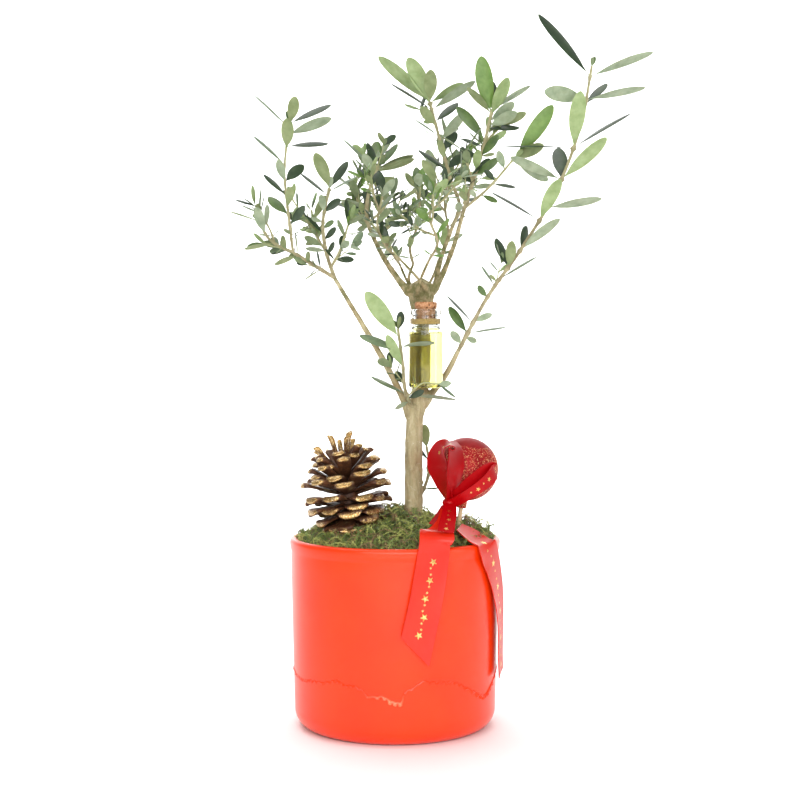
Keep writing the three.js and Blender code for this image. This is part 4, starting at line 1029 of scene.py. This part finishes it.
def grow_tip(shoot, random):
    """Two narrow young leaves folded round the bud at a shoot's end."""
    tip, tangent = shoot.curve.point(1.0), shoot.curve.tangent(1.0)
    front, side = crossways(tangent)
    turn = random() * math.pi
    for half in (0, math.pi):
        outward = side * math.cos(turn + half) + front * math.sin(turn + half)
        axis = unit(tangent + outward * 0.28)
        face = unit(tangent - axis * np.dot(tangent, axis))
        shoot.leaves.append(Leaf(tip - tangent * 0.5, axis, face, mix(6, 10, random()), 0.1))


def blocked(points, mass_name):
    """True where any point lies in the bottle, the bauble, the trunk or the moss."""
    x, y, z = points.T
    bottle = (np.hypot(x - BOTTLE["x"], y - BOTTLE["y"]) < BOTTLE["radius"] + 0.8) & (z > 221) & (z < 279)
    bauble = np.linalg.norm(points - BAUBLE["middle"], axis=1) < BAUBLE["radius"] + 1
    trunk = (np.hypot(x - 16, y - 2) < 6.6) & (z < 290)
    low = z < moss_height(x, y) - 2
    solid = bottle | bauble | low
    if mass_name not in ("foliage_trunk_shoot", "foliage_base_sprig"):
        solid |= trunk
    return solid.any()


def leaf_grid():
    """The shares along the blade and the outline's half widths at them."""
    return np.array(LEAF_OUTLINE).T


def add_leaves(surfaces, leaves, tones):
    """All leaves at once: each has rows of five points across the top and one more underneath."""
    along, outline = leaf_grid()
    rows = len(along)
    across_top = np.array([-1, -0.55, 0, 0.55, 1])
    for tone in sorted(set(tones)):
        chosen = [leaf for leaf, own in zip(leaves, tones) if own == tone]
        base = np.array([leaf.base for leaf in chosen])
        axis = np.array([leaf.axis for leaf in chosen])
        face = np.array([leaf.face for leaf in chosen])
        length = np.array([leaf.length for leaf in chosen])[:, None, None]
        bend = np.array([leaf.bend for leaf in chosen])[:, None, None]
        across = np.cross(axis, face)
        width = length * np.interp(length, *zip(*LEAF_WIDTHS)) * (1 + 0.3 * bend)
        half = np.maximum(outline[None, :, None] * width / 2, np.where(along < 0.9, 0.35, 0.12)[None, :, None])
        s = along[None, :, None]
        droop = -LEAF["curl"] * length * s**2
        sway = bend * 0.16 * length * s**2
        t = across_top[None, None, :]
        groove = -0.16 * np.exp(-(t / 0.2) ** 2) * np.minimum(half, 1)
        top_height = droop - LEAF["cup"] * half * t**2 + LEAF["cup"] * 0.4 * half + groove + LEAF["thickness"] / 2
        under = droop + LEAF["cup"] * 0.4 * half - LEAF["thickness"] - 0.12 * np.minimum(half, 1)
        edge = np.abs(t) == 1
        top_height = np.where(edge, droop - LEAF["cup"] * 0.6 * half, top_height)

        def spot(s_along, t_across, height):
            return (base[:, None, None] + axis[:, None, None] * (s_along * length)[..., None]
                    + across[:, None, None] * t_across[..., None] + face[:, None, None] * height[..., None])

        top = spot(np.broadcast_to(s, top_height.shape), t * half + sway, top_height)
        below = spot(s, np.zeros_like(half) + sway, under)
        points = np.concatenate([top, below], axis=2).reshape(-1, 3)
        count = len(chosen)
        start = (np.arange(count) * rows * 6)[:, None, None]
        row = (np.arange(rows - 1) * 6)[None, :, None]
        upper = np.arange(4)[None, None, :]
        first = start + row + upper
        top_quads = np.stack([first, first + 1, first + 7, first + 6], -1).reshape(-1, 4)
        corner = (start + row).reshape(-1)
        under_quads = np.concatenate([
            np.stack([corner + 6, corner + 11, corner + 5, corner], -1),
            np.stack([corner + 11, corner + 10, corner + 4, corner + 5], -1),
        ])
        foot = start.reshape(-1)
        end = foot + (rows - 1) * 6
        caps = np.concatenate([
            np.stack([foot, foot + 5, foot + 2, foot + 1], -1), np.stack([foot + 2, foot + 5, foot + 4, foot + 3], -1),
            np.stack([end, end + 1, end + 2, end + 5], -1), np.stack([end + 2, end + 3, end + 4, end + 5], -1),
        ])
        surface = surfaces[tone]
        offset = surface.count
        surface.add(points, top_quads, 0)
        surface.more(under_quads + offset, 1)
        surface.more(caps + offset, 1)


TONE_NAMES = {"d": "leaves_dark", "o": "leaves_olive", "f": "leaves_fresh", "g": "leaves_grey"}
LEAF_TONES = {
    # piece: share of the sprays, upper side (dark, light), under side (dark, light)
    "leaves_dark": (0.36, ("243621", "394d2e"), ("707f59", "8b9972")),
    "leaves_olive": (0.28, ("455d2f", "627a42"), ("7b8959", "98a375")),
    "leaves_fresh": (0.18, ("5c7e34", "7b9a4c"), ("869b63", "a7b985")),
    "leaves_grey": (0.18, ("5c7052", "7c8d6a"), ("859476", "a8b496")),
}


def build_foliage(boughs):
    surfaces = {name: Surface() for name in LEAF_TONES}
    twigs = Surface()
    names = list(LEAF_TONES)
    limits = np.cumsum([LEAF_TONES[name][0] for name in names])
    for mass_name, mass in FOLIAGE.items():
        shoots, middles = grow_mass(mass, boughs)
        random = seeded_random(mass["seed"] + 500)
        leaves, tones = [], []
        for shoot in shoots:
            line = shoot.curve.point_at(np.linspace(0, 1, 7))
            if shoot.order and blocked(line, mass_name):
                continue
            add_shoot(twigs, shoot)
            spray = random()
            for leaf in shoot.leaves:
                own = random()
                tip = leaf.base + leaf.axis * leaf.length
                inside = np.linalg.norm(middles - tip, axis=1).min() < mass["reach"]
                line = leaf.base + leaf.axis * leaf.length * np.linspace(0.25, 1, 5)[:, None]
                if inside and not blocked(line, mass_name):
                    leaves.append(leaf)
                    pick = spray if own < 0.55 else (own - 0.55) / 0.45
                    tones.append(TONE_NAMES.get(leaf.tone) or names[int(np.searchsorted(limits, min(pick, 0.999)))])
        add_leaves(surfaces, leaves, tones)
    masses = list(FOLIAGE)
    twigs.build("twigs", "bark", [twig_finish()], masses)
    for name, (_, upper, under) in LEAF_TONES.items():
        finishes = [leaf_finish(name + "_upper", *upper, 0.45, 0.14), leaf_finish(name + "_under", *under, 0.7)]
        surfaces[name].build(name, "foliage", finishes, masses, crease=70)


def add_shoot(twigs, shoot):
    """A stem or twig, swollen a little where its leaves stand."""
    steps = max(4, int(shoot.curve.length / 2.2))
    shares = np.linspace(0, 1, steps)
    radii = mix(*shoot.radii, shares)
    for node in shoot.nodes:
        radii = radii * (1 + 0.3 * np.exp(-((shares - node) * shoot.curve.length / 1.3) ** 2))
    add_tube(twigs, shoot.curve.point_at(shares), radii, 8 if shoot.order == 0 else 6,
             shade=np.clip(0.25 * shoot.order + 0.5 * shares, 0, 1))


# ---------------------------------------------------------------- pine cone


def cone_matrix():
    return Matrix.Translation(CONE["middle"]) @ Matrix.Rotation(-math.radians(CONE["lean"]), 4, "Y")


def ray_to_egg(root, out):
    squash = 1 / np.array([CONE["radius"], CONE["radius"], CONE["half_height"]])
    start, step = root * squash, out * squash
    half, square = np.dot(start, step), np.dot(step, step)
    return (-half + math.sqrt(half * half - square * (np.dot(start, start) - 1))) / square


def build_pine_cone():
    """Woody scales in a spiral round a slim spindle, slender at the top, with gilded rims."""
    surface = Surface()
    random = seeded_random(CONE["seed"])
    matrix = cone_matrix()
    spindle = [(0, -28), (5, -27), (7, -22), (6.5, -8), (5, 2), (3, 8), (1.5, 11), (0, 12)]
    add_lathe(surface, spindle, 16, matrix=matrix)
    for index in range(CONE["scales"] + CONE["fingers"]):
        share = min(index / (CONE["scales"] - 1), 1)
        finger = index >= CONE["scales"]
        low, high = (34, 82) if finger else (mix(-30, 46, share**0.85) - 7, mix(-30, 46, share**0.85) + 7)
        tilt = math.radians(mix(low, high, random()))
        root = np.array([0, 0, 3 if finger else mix(-23, 8, share**0.9)])
        turn = index * GOLDEN_TURN + 0.3 * (random() - 0.5)
        out = np.array([math.cos(turn) * math.cos(tilt), math.sin(turn) * math.cos(tilt), math.sin(tilt)])
        shortest, longest = (0.94, 1) if finger else (mix(0.82, 0.66, share), mix(1, 0.86, share**2))
        length = (ray_to_egg(root, out) - 0.5) * mix(shortest, longest, random())
        width = mix(2.8, 4, random()) if finger else mix(20, 7.5, share**0.9) * mix(0.85, 1.15, random())
        gilded = 3.0 if finger else mix(0.3, 1, share) + 0.5 * (random() - 0.5)
        add_cone_scale(surface, matrix, root, out, length, width, gilded, random)
    surface.points = [points + 0.4 * scattered(points, 2.2) for points in surface.points]
    surface.build("pine_cone_open", "cone", [cone_finish()], ["pine_cone"], crease=50)


def scattered(points, scale):
    """A smooth random push at each point, with features of about `scale` millimetres."""
    return np.array([noise.noise_vector(Vector(point) / scale) for point in points])


# rows of a scale from its root: share of the length, of the width, thickness, lift of the middle, gilding
CONE_SCALE = [
    (0.1, 0.42, 0.8, 0, 0), (0.3, 0.62, 0.9, 0, 0), (0.55, 0.84, 1, 0, 0.02), (0.76, 0.98, 1.2, 0.3, 0.08),
    (0.87, 1, 1.7, 0.6, 0.2), (0.94, 0.94, 2, 0.3, 0.5), (0.982, 0.78, 1.7, -0.3, 0.85), (1, 0.5, 0.8, -0.9, 1),
]


def add_cone_scale(surface, matrix, root, out, length, width, gilded, random):
    """A plank that widens from the spindle to a thick rounded end, which bends down to a blunt point."""
    across = unit(np.array([-out[1], out[0], 0.0]))
    up = np.cross(out, across)
    turns = np.linspace(0, 2 * math.pi, 16, endpoint=False)
    x = np.sign(np.cos(turns)) * np.abs(np.cos(turns)) ** 0.9
    z = np.sign(np.sin(turns)) * np.abs(np.sin(turns)) ** 0.8
    cup = mix(0.05, 0.16, random())
    rings = []
    for row, share, thick, raised, _ in CONE_SCALE:
        half = share * width / 2
        rings.append(root + out * length * row + (x * half)[:, None] * across
                     + (z * thick + raised + cup * half * x**2)[:, None] * up)
    rows = np.array(CONE_SCALE)
    ends = np.array([root + out * length * 0.08, root + out * (length + 0.4) - up])
    points = np.vstack([np.concatenate(rings), ends])
    points = points @ np.array(matrix.to_3x3()).T + np.array(matrix.translation)
    size = len(turns)
    start = surface.count
    shade = np.concatenate([np.repeat(rows[:, 4] * mix(0.7, 1, gilded) + 0.25 * max(gilded - 1, 0), size), [0, 1]])
    surface.add(points, grid_faces(len(rows), size, True), 0, shade)
    ring = np.arange(size)
    after = (ring + 1) % size
    last = start + (len(rows) - 1) * size
    surface.more(np.stack([start + after, start + ring, np.full(size, start + len(rows) * size)], -1))
    surface.more(np.stack([last + ring, last + after, np.full(size, start + len(rows) * size + 1)], -1))


# ---------------------------------------------------------------- bauble and pick


def pick_axis():
    return unit(np.array(PICK["foot"]) - np.array(BAUBLE["middle"]))


def build_bauble():
    b = BAUBLE
    surface = Surface()
    axis = pick_axis()
    matrix = Matrix.Translation(b["middle"]) @ Vector((0, 0, -1)).rotation_difference(Vector(axis)).to_matrix().to_4x4()
    r = b["radius"]
    ball = arc(0, 0, r, r, -90 + 9.6, 90, 60)
    neck = [(0, -r - b["neck_length"]), (b["neck_radius"] - 0.5, -r - b["neck_length"]),
            (b["neck_radius"], -r - b["neck_length"] + 0.6), (b["neck_radius"], -r + 0.4)]
    add_lathe(surface, neck + ball[:-1] + [(0, r)], 110, matrix=matrix)
    surface.build("bauble_ball", "bauble", [bauble_finish()], ["bauble"])
    build_glitter(matrix)


def build_glitter(matrix):
    """Flakes of gold and red glitter in curls over the ball, and close together on its neck."""
    random = np.random.default_rng(41)
    flakes = {"glitter_gold": Surface(), "glitter_red": Surface()}
    r = BAUBLE["radius"]
    spots = []
    for _ in range(70):
        turn, height = random.uniform(0, 2 * math.pi), random.uniform(-0.85, 0.62)
        centre = np.array([math.sqrt(1 - height**2) * math.cos(turn), math.sqrt(1 - height**2) * math.sin(turn), height])
        side = unit(np.cross(centre, random.normal(size=3)))
        beside = np.cross(centre, side)
        size, way = random.uniform(0.1, 0.22), random.choice([-1, 1])
        for step in np.arange(0, 2.1 * math.pi, 0.11):
            reach = size * mix(1, 0.25, step / (2.1 * math.pi))
            spread = random.normal(scale=0.012, size=3)
            spots.append(unit(centre + (side * math.cos(step) + beside * math.sin(step) * way) * reach + spread) * r)
    for _ in range(7500):
        height = random.uniform(-0.95, 0.8)
        turn = random.uniform(0, 2 * math.pi)
        spots.append(np.array([math.sqrt(1 - height**2) * math.cos(turn), math.sqrt(1 - height**2) * math.sin(turn), height]) * r)
    for _ in range(700):
        turn, height = random.uniform(0, 2 * math.pi), random.uniform(-r - 4.8, -r + 0.2)
        spots.append(np.array([BAUBLE["neck_radius"] * math.cos(turn), BAUBLE["neck_radius"] * math.sin(turn), height]))
    turn3, move = np.array(matrix.to_3x3()), np.array(matrix.translation)
    for spot in spots:
        outward = unit(spot * ((1, 1, 0) if spot[2] < -r + 0.3 and np.hypot(*spot[:2]) < 4 else (1, 1, 1)))
        side = unit(np.cross(outward, random.normal(size=3)))
        beside = np.cross(outward, side)
        size = random.uniform(0.15, 0.34)
        tilt = outward + random.normal(scale=0.35, size=3)
        points = [spot + side * size, spot + beside * size, spot - side * size, spot - beside * size,
                  spot + unit(tilt) * 0.16]
        piece = flakes["glitter_gold" if random.random() < 0.5 else "glitter_red"]
        piece.add(np.array(points) @ turn3.T + move, [(0, 1, 4), (1, 2, 4), (2, 3, 4), (3, 0, 4), (0, 2, 1), (0, 3, 2)])
    flakes["glitter_gold"].build("glitter_gold", "gold", [glitter_finish("glitter_gold", "e8844a", "ffd2a0", 0.6)], [], 5)
    flakes["glitter_red"].build("glitter_red", "bauble", [glitter_finish("glitter_red", "8c0c12", "e03038", 0.5)], [], 5)


def build_pick():
    surface = Surface()
    start = np.array(BAUBLE["middle"]) + pick_axis() * (BAUBLE["radius"] + BAUBLE["neck_length"] + 0.1)
    foot = np.array(PICK["foot"])
    points = [mix(start, foot, s) for s in np.linspace(0, 1, 24)]
    add_tube(surface, points, PICK["radius"], 16)
    surface.build("pick_stick", "pick", [wood_finish()], ["bauble_pick"])


# ---------------------------------------------------------------- ribbons

# Stops of (x, y, z, turn of the ribbon's width round Z, its rise, share of the full width)
LEFT_LOOP = [
    (34.5, -35, 151, 123, 0, 0.35), (30, -44, 162, 123, 0, 0.75), (26.5, -48, 174, 123, 0, 1),
    (28.5, -50.5, 183.5, 118, 0, 1), (33, -52.5, 188, 95, 0, 1), (37.5, -52, 186.5, 70, 0, 1),
    (38, -53.5, 176, 57, 0, 0.9), (37, -49, 163, 57, 0, 0.7), (35.5, -36, 151.5, 57, 0, 0.35),
]
RIGHT_LOOP = [
    (36, -38, 150.5, -135, 60, 0.3), (43, -44.5, 159.5, -135, 60, 0.36), (51, -46.5, 166.5, -135, 60, 0.4),
    (58, -44, 170.5, -135, 60, 0.46), (62.5, -40.5, 170.5, -135, 60, 0.5), (60, -45.5, 166.5, -135, 60, 0.45),
    (52.5, -49.5, 160.5, -135, 60, 0.36), (44, -47, 154.5, -135, 60, 0.32), (36.5, -39, 149.5, -135, 60, 0.3),
]
FRONT_TAIL = [
    (33.5, -37, 145, 8, 0, 0.42), (31, -46, 138.4, 8, 0, 0.45), (28.6, -53.5, 134.8, 10, 0, 0.6),
    (26.7, -60.5, 133.4, 16, 0, 1), (25.2, -65.6, 129.5, 20, 0, 1), (24.1, -65.6, 121, 20, 0, 1),
    (19.2, -68.4, 92, 16, 0, 1), (12.6, -70, 61, 10, 0, 1),
]
SIDE_TAIL = [
    (41, -34, 134, 62, 0, 0.7), (48, -35.2, 129.4, 58, 0, 1), (54.9, -37, 125.1, 56, 0, 1),
    (57.4, -38, 123.9, 56, 0, 1), (58.7, -38.1, 121, 57, 0, 1), (62.5, -31.8, 111, 63, 0, 1),
    (66, -24, 96, 70, 0, 1), (68.3, -16.4, 72, 77, 0, 1), (69.1, -12.2, 36, 80, 0, 1),
]
SHORT_STRIP = [
    (35, -40, 150, 5, 0, 0.35), (34, -50, 144, 5, 0, 0.45), (32.5, -58, 138.5, 8, 0, 0.48), (31.5, -63.5, 134.6, 10, 0, 0.48),
]
BACK_STRIP = [
    (33, -35, 147.5, -30, 0, 0.35), (30, -38.5, 140.5, -25, 0, 0.5), (27, -42, 135.5, -20, 0, 0.6),
]


class Strip:
    """The ribbon's middle line and the directions of its width and its face along the way."""

    def __init__(self, stops):
        self.centre = Curve([stop[:3] for stop in stops])
        turns = [(math.radians(stop[3]), math.radians(stop[4])) for stop in stops]
        self.across = Curve([(math.cos(t) * math.cos(r), math.sin(t) * math.cos(r), math.sin(r)) for t, r in turns])
        self.share = Curve([(stop[5], 0, 0) for stop in stops])

    def at(self, place):
        """Point, directions and share of the width at a share of the length."""
        t = self.centre.at(place)
        tangent = self.centre.tangent(t)
        across = self.across.point(t)
        across = unit(across - tangent * np.sum(across * tangent, -1, keepdims=True))
        return self.centre.point(t), tangent, across, np.cross(tangent, across), self.share.point(t)[..., 0]


def add_strip(surface, stops, steps, slant=0.0, slot=0):
    """A thin ribbon with a thicker selvedge along both edges. The cut at its end slants by +-`slant`."""
    strip = Strip(stops)
    t = np.linspace(0, 1, steps)
    columns = np.linspace(-1, 1, 11)
    width = RIBBON["width"] / 2
    reach = t[:, None] + slant / strip.centre.length * columns[None] * smoothstep(t, 0.75, 1)[:, None]
    rows = [strip.at(np.clip(reach[:, k], 0, 1)) for k in range(len(columns))]
    ripple = 0.25 * np.sin(t * strip.centre.length / 9)
    top, bottom = [], []
    for k, column in enumerate(columns):
        point, tangent, across, out, share = rows[k]
        over = np.maximum(reach[:, k] - 1, 0) * strip.centre.length
        thick = RIBBON["thickness"] * (0.5 if abs(column) < 0.95 else 0.62)
        line = point + across * (column * width * share)[:, None] + tangent * over[:, None]
        line = line + out * (ripple * column**2 - 0.3 * (1 - column**2))[:, None]
        top.append(line + out * thick)
        bottom.append(line - out * thick)
    loop = np.stack(top + bottom[::-1], 1)
    count = loop.shape[1]
    start = surface.count
    surface.add(loop.reshape(-1, 3), grid_faces(steps, count, True), slot)
    half = len(columns)
    k = np.arange(half - 1)
    for base, flip in ((start, True), (start + (steps - 1) * count, False)):
        quads = np.stack([base + k, base + k + 1, base + count - 2 - k, base + count - 1 - k], -1)
        surface.more(quads[:, ::-1] if flip else quads, slot)


def build_ribbons():
    # One satin in two copies: the bow's copy is painted darker (painted shade) and the tails' copy lighter, with a
    # stronger reflection (painted light).
    satin = ribbon_finish("ribbon_satin", "a00008", "b2020a", 0.2)
    painted_light_satin = ribbon_finish("ribbon_satin_painted_light", "d2200a", "de2a0e", 0.45)
    bow = Surface()
    add_strip(bow, LEFT_LOOP, 90)
    add_strip(bow, RIGHT_LOOP, 90)
    add_strip(bow, SHORT_STRIP, 30)
    add_strip(bow, BACK_STRIP, 24)
    knot = arc(0, 0, 4.6, 3.6, -90, 90, 14)
    add_lathe(bow, [(0, -3.6), *knot[1:-1], (0, 3.6)], 24, matrix=Matrix.Translation((34.6, -36, 149.6)))
    bow.build("ribbon_bow_satin", "ribbon", [satin], ["ribbon_bow"])
    front, side = Surface(), Surface()
    add_strip(front, FRONT_TAIL, 90, slant=7.2)
    front.build("ribbon_front_satin", "ribbon", [painted_light_satin], ["ribbon_tail_front"])
    add_strip(side, SIDE_TAIL, 90)
    side.build("ribbon_side_satin", "ribbon", [painted_light_satin], ["ribbon_tail_side"])
    build_foil()


def add_star(surface, strip, t, shift, size, points=5, face=1):
    """A small flat foil star on the ribbon's face."""
    point, tangent, across, out, share = strip.at(np.array(t))
    middle = point + across * shift
    ring = []
    for k in range(points * 2):
        angle = math.pi * k / points + math.pi / 2
        reach = size * (1 if k % 2 == 0 else 0.42)
        ring.append(across * math.cos(angle) * reach + tangent * math.sin(angle) * reach)
    bow = 0.3 * (1 - (shift / (RIBBON["width"] / 2 * share)) ** 2)
    lift = RIBBON["thickness"] * 0.5 - face * bow + 0.02
    low = [middle + step + out * face * (lift - 0.12) for step in ring]
    high = [middle + step + out * face * (lift + 0.08) for step in ring]
    centre = [middle + out * face * (lift + 0.14), middle + out * face * (lift - 0.14)]
    count = len(ring)
    k = np.arange(count)
    after = (k + 1) % count
    start = surface.count
    surface.add(np.vstack([low, high, centre]), np.stack([k, after, count + after, count + k], -1))
    surface.more(np.stack([start + count + k, start + count + after, np.full(count, start + 2 * count)], -1))
    surface.more(np.stack([start + after, start + k, np.full(count, start + 2 * count + 1)], -1))


def build_foil():
    """Stars and dots of gold foil down the middle of the ribbon's tails."""
    foil = Surface()
    random = seeded_random(83)
    front = Strip(FRONT_TAIL)
    for k, t in enumerate(np.linspace(0.46, 0.9, 13)):
        big = k % 3 == 0
        add_star(foil, front, t, 2.2 * (random() - 0.5), 2.6 if big else 1, 5 if big else 6)
    side = Strip(SIDE_TAIL)
    for k, t in enumerate(np.linspace(0.16, 0.95, 16)):
        big = k % 3 == 0
        add_star(foil, side, t, 2.2 * (random() - 0.5), 2.6 if big else 1, 5 if big else 6)
    for stops, first, last, count in ((RIGHT_LOOP, 0.6, 0.78, 4), (SHORT_STRIP, 0.3, 0.9, 5), (LEFT_LOOP, 0.4, 0.5, 3)):
        strip = Strip(stops)
        for k, t in enumerate(np.linspace(first, last, count)):
            face = -1 if strip.at(np.array(t))[3][1] > 0 else 1
            add_star(foil, strip, t, random() - 0.5, 1.6 if k % 2 == 0 else 0.8, 5, face)
    foil.build("ribbon_foil", "gold", [foil_finish()], [])


# ---------------------------------------------------------------- bottle and its tie


def build_bottle():
    b = BOTTLE
    centre = (b["x"], b["y"])
    glass = Surface()
    add_lathe(glass, [
        (0, b["foot"] + 0.6), (b["radius"] - 3, b["foot"] + 0.3), *arc(b["radius"] - 1.6, b["foot"] + 1.6, 1.6, 1.6, -90, 0, 6),
        (b["radius"], b["shoulder"] - 2), *arc(b["radius"] - 2, b["shoulder"], 2, 2, 0, 60, 5),
        (b["neck_radius"] + 0.3, b["neck_from"] - 0.6), (b["neck_radius"], b["neck_from"] + 0.4), (b["neck_radius"], b["lip_from"]),
        *arc(b["lip_radius"] - 1.4, b["lip_from"] + 1.6, 1.4, 1.6, -70, 0, 4),
        *arc(b["lip_radius"] - 1.6, b["mouth"] - 1.6, 1.6, 1.6, 0, 90, 5),
        (b["bore_radius"], b["mouth"]), (b["bore_radius"], b["neck_from"]),
        (b["radius"] - b["wall"], b["shoulder"] - 1), (b["radius"] - b["wall"], b["shoulder"] - 4),
        (b["radius"] - b["wall"], b["foot"] + b["wall"] + 2), (b["radius"] - b["wall"] - 1.8, b["foot"] + b["wall"] + 0.4),
        (0, b["foot"] + b["wall"]),
    ], 64, centre=centre)
    glass.build("bottle_glass_clear", "glass", [glass_finish()], ["bottle_glass"])
    oil = Surface()
    radius = b["radius"] - b["wall"] + 0.08
    add_lathe(oil, [
        (0, b["foot"] + b["wall"] - 0.08), (radius - 1.9, b["foot"] + b["wall"] + 0.3), (radius, b["foot"] + b["wall"] + 2),
        (radius, b["oil_top"] + 0.5), (radius - 0.7, b["oil_top"] + 0.1), (radius - 1.8, b["oil_top"]), (0, b["oil_top"]),
    ], 64, centre=centre)
    oil.build("bottle_oil_olive", "oil", [oil_finish()], ["bottle_oil"])
    cork = Surface()
    radius = b["bore_radius"] - 0.1
    add_lathe(cork, [
        (0, b["cork_in"]), (radius - 0.6, b["cork_in"]), (radius - 0.2, b["cork_in"] + 0.8), (radius, b["mouth"]),
        (radius + 0.6, b["mouth"] + 0.9), (radius + 0.7, b["cork_top"] - 1), (radius + 0.1, b["cork_top"] - 0.1), (0, b["cork_top"]),
    ], 40, centre=centre)
    cork.points[0] += 0.12 * scattered(cork.points[0], 1.3)
    cork.build("bottle_cork_grain", "cork", [cork_finish()], ["bottle_cork"])


def band_route(radius_extra, steps):
    """Points of a loop pulled tight round the trunk and the bottle's neck."""
    trunk = np.array([17.1, 2.0])
    neck = np.array([BOTTLE["x"], BOTTLE["y"]])
    circle_a, circle_b = 6.4 + radius_extra, BOTTLE["neck_radius"] + 0.5 + radius_extra
    apart = neck - trunk
    heading = math.atan2(apart[1], apart[0])
    lean = math.acos((circle_b - circle_a) / np.hypot(*apart))
    neck_angles = heading - lean + np.linspace(0, 2 * lean, steps)
    trunk_angles = heading + lean + np.linspace(0, 2 * math.pi - 2 * lean, steps)
    neck_part = neck + circle_b * np.stack([np.cos(neck_angles), np.sin(neck_angles)], -1)
    trunk_part = trunk + circle_a * np.stack([np.cos(trunk_angles), np.sin(trunk_angles)], -1)
    return np.vstack([neck_part, trunk_part])


def build_tie():
    """Two-ply thread wound round the trunk and the neck, turn upon turn."""
    surface = Surface()
    loop = band_route(0.35, 60)
    closed = np.vstack([loop, loop[:1]])
    steps = np.concatenate([[0], np.cumsum(np.linalg.norm(np.diff(closed, axis=0), axis=1))])
    length = TIE["turns"] * steps[-1]
    places = np.arange(0, length, 0.5)
    x = np.interp(places % steps[-1], steps, closed[:, 0])
    y = np.interp(places % steps[-1], steps, closed[:, 1])
    z = mix(TIE["low"] + 0.4, TIE["high"] - 0.4, places / length)
    centre = np.stack([x, y, z], -1)
    _, across, beside = carried_frames(centre)
    for ply in (0, math.pi):
        twist = places * 2.2 + ply
        offset = across * np.cos(twist)[:, None] + beside * np.sin(twist)[:, None]
        add_tube(surface, centre + offset * 0.22, 0.27, 6)
    surface.build("tie_thread", "thread", [thread_finish()], ["bottle_tie"])


# ---------------------------------------------------------------- stage, light and camera


def build_stage():
    """A pale floor that curves up into a backdrop."""
    profile = [(-2600, -0.2), (-1000, -0.2), (500, -0.2), (1600, -0.2)]
    profile += [(1600 + 900 * math.sin(a), 900 - 900 * math.cos(a) - 0.2) for a in np.radians(np.linspace(6, 90, 15))]
    profile += [(2500, 2400), (2500, 3600)]
    across = np.linspace(-3500, 3500, 9)
    points = np.array([(x, y, z) for y, z in profile for x in across])
    surface = Surface()
    surface.add(points, grid_faces(len(profile), len(across)))
    mesh = surface.mesh("floor")
    mesh.materials.append(stage_finish())
    floor = bpy.data.objects.new("floor", mesh)
    bpy.context.scene.collection.objects.link(floor)


def add_light(name, location, target, size, power, tint=(1, 1, 1)):
    data = bpy.data.lights.new(name, "AREA")
    data.shape = "RECTANGLE"
    data.size, data.size_y = size
    data.energy = power
    data.color = tint
    lamp = bpy.data.objects.new(name, data)
    lamp.location = location
    lamp.rotation_euler = (Vector(target) - Vector(location)).to_track_quat("-Z", "Y").to_euler()
    bpy.context.scene.collection.objects.link(lamp)


def build_light_and_camera():
    scene = bpy.context.scene
    world = bpy.data.worlds.new("studio")
    world.use_nodes = True
    background = world.node_tree.nodes["Background"]
    background.inputs["Color"].default_value = (1, 1, 1, 1)
    background.inputs["Strength"].default_value = 0.32
    scene.world = world
    add_light("key", (-0.1, -2.0, 0.9), (0, 0, 0.2), (2.6, 1.3), 34)
    add_light("fill", (1.7, -0.6, 0.5), (0, 0, 0.2), (0.5, 1.4), 5)
    add_light("floor_glow", (0.12, -0.66, 0.3), (0.12, -0.64, 0), (0.4, 0.3), 2)
    add_light("overhead", (-0.3, 0.2, 2.0), (0, 0.1, 0), (1.8, 1.8), 22)
    add_light("backdrop", (0, 1.0, 1.6), (0, 2.4, 0.5), (3.0, 1.0), 90)
    scene.view_settings.view_transform = "Standard"
    camera = bpy.data.cameras.new("camera")
    camera.sensor_width = 36
    camera.lens = 69.75
    camera.clip_start = 0.05
    viewer = bpy.data.objects.new("camera", camera)
    viewer.location = (0.00329, -1.016, 0.249)
    viewer.rotation_euler = (math.radians(90 - 1.995), 0, 0)
    scene.collection.objects.link(viewer)
    scene.camera = viewer


# ---------------------------------------------------------------- assembly

build_stage()
build_light_and_camera()
build_pot()
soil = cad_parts["soil"]
soil.data.materials.clear()
soil.data.materials.append(soil_finish())
build_moss()
bough_lines = bough_curves()
build_bark(bough_lines)
build_foliage(bough_lines)
build_pine_cone()
build_bauble()
build_pick()
build_ribbons()
build_bottle()
build_tie()
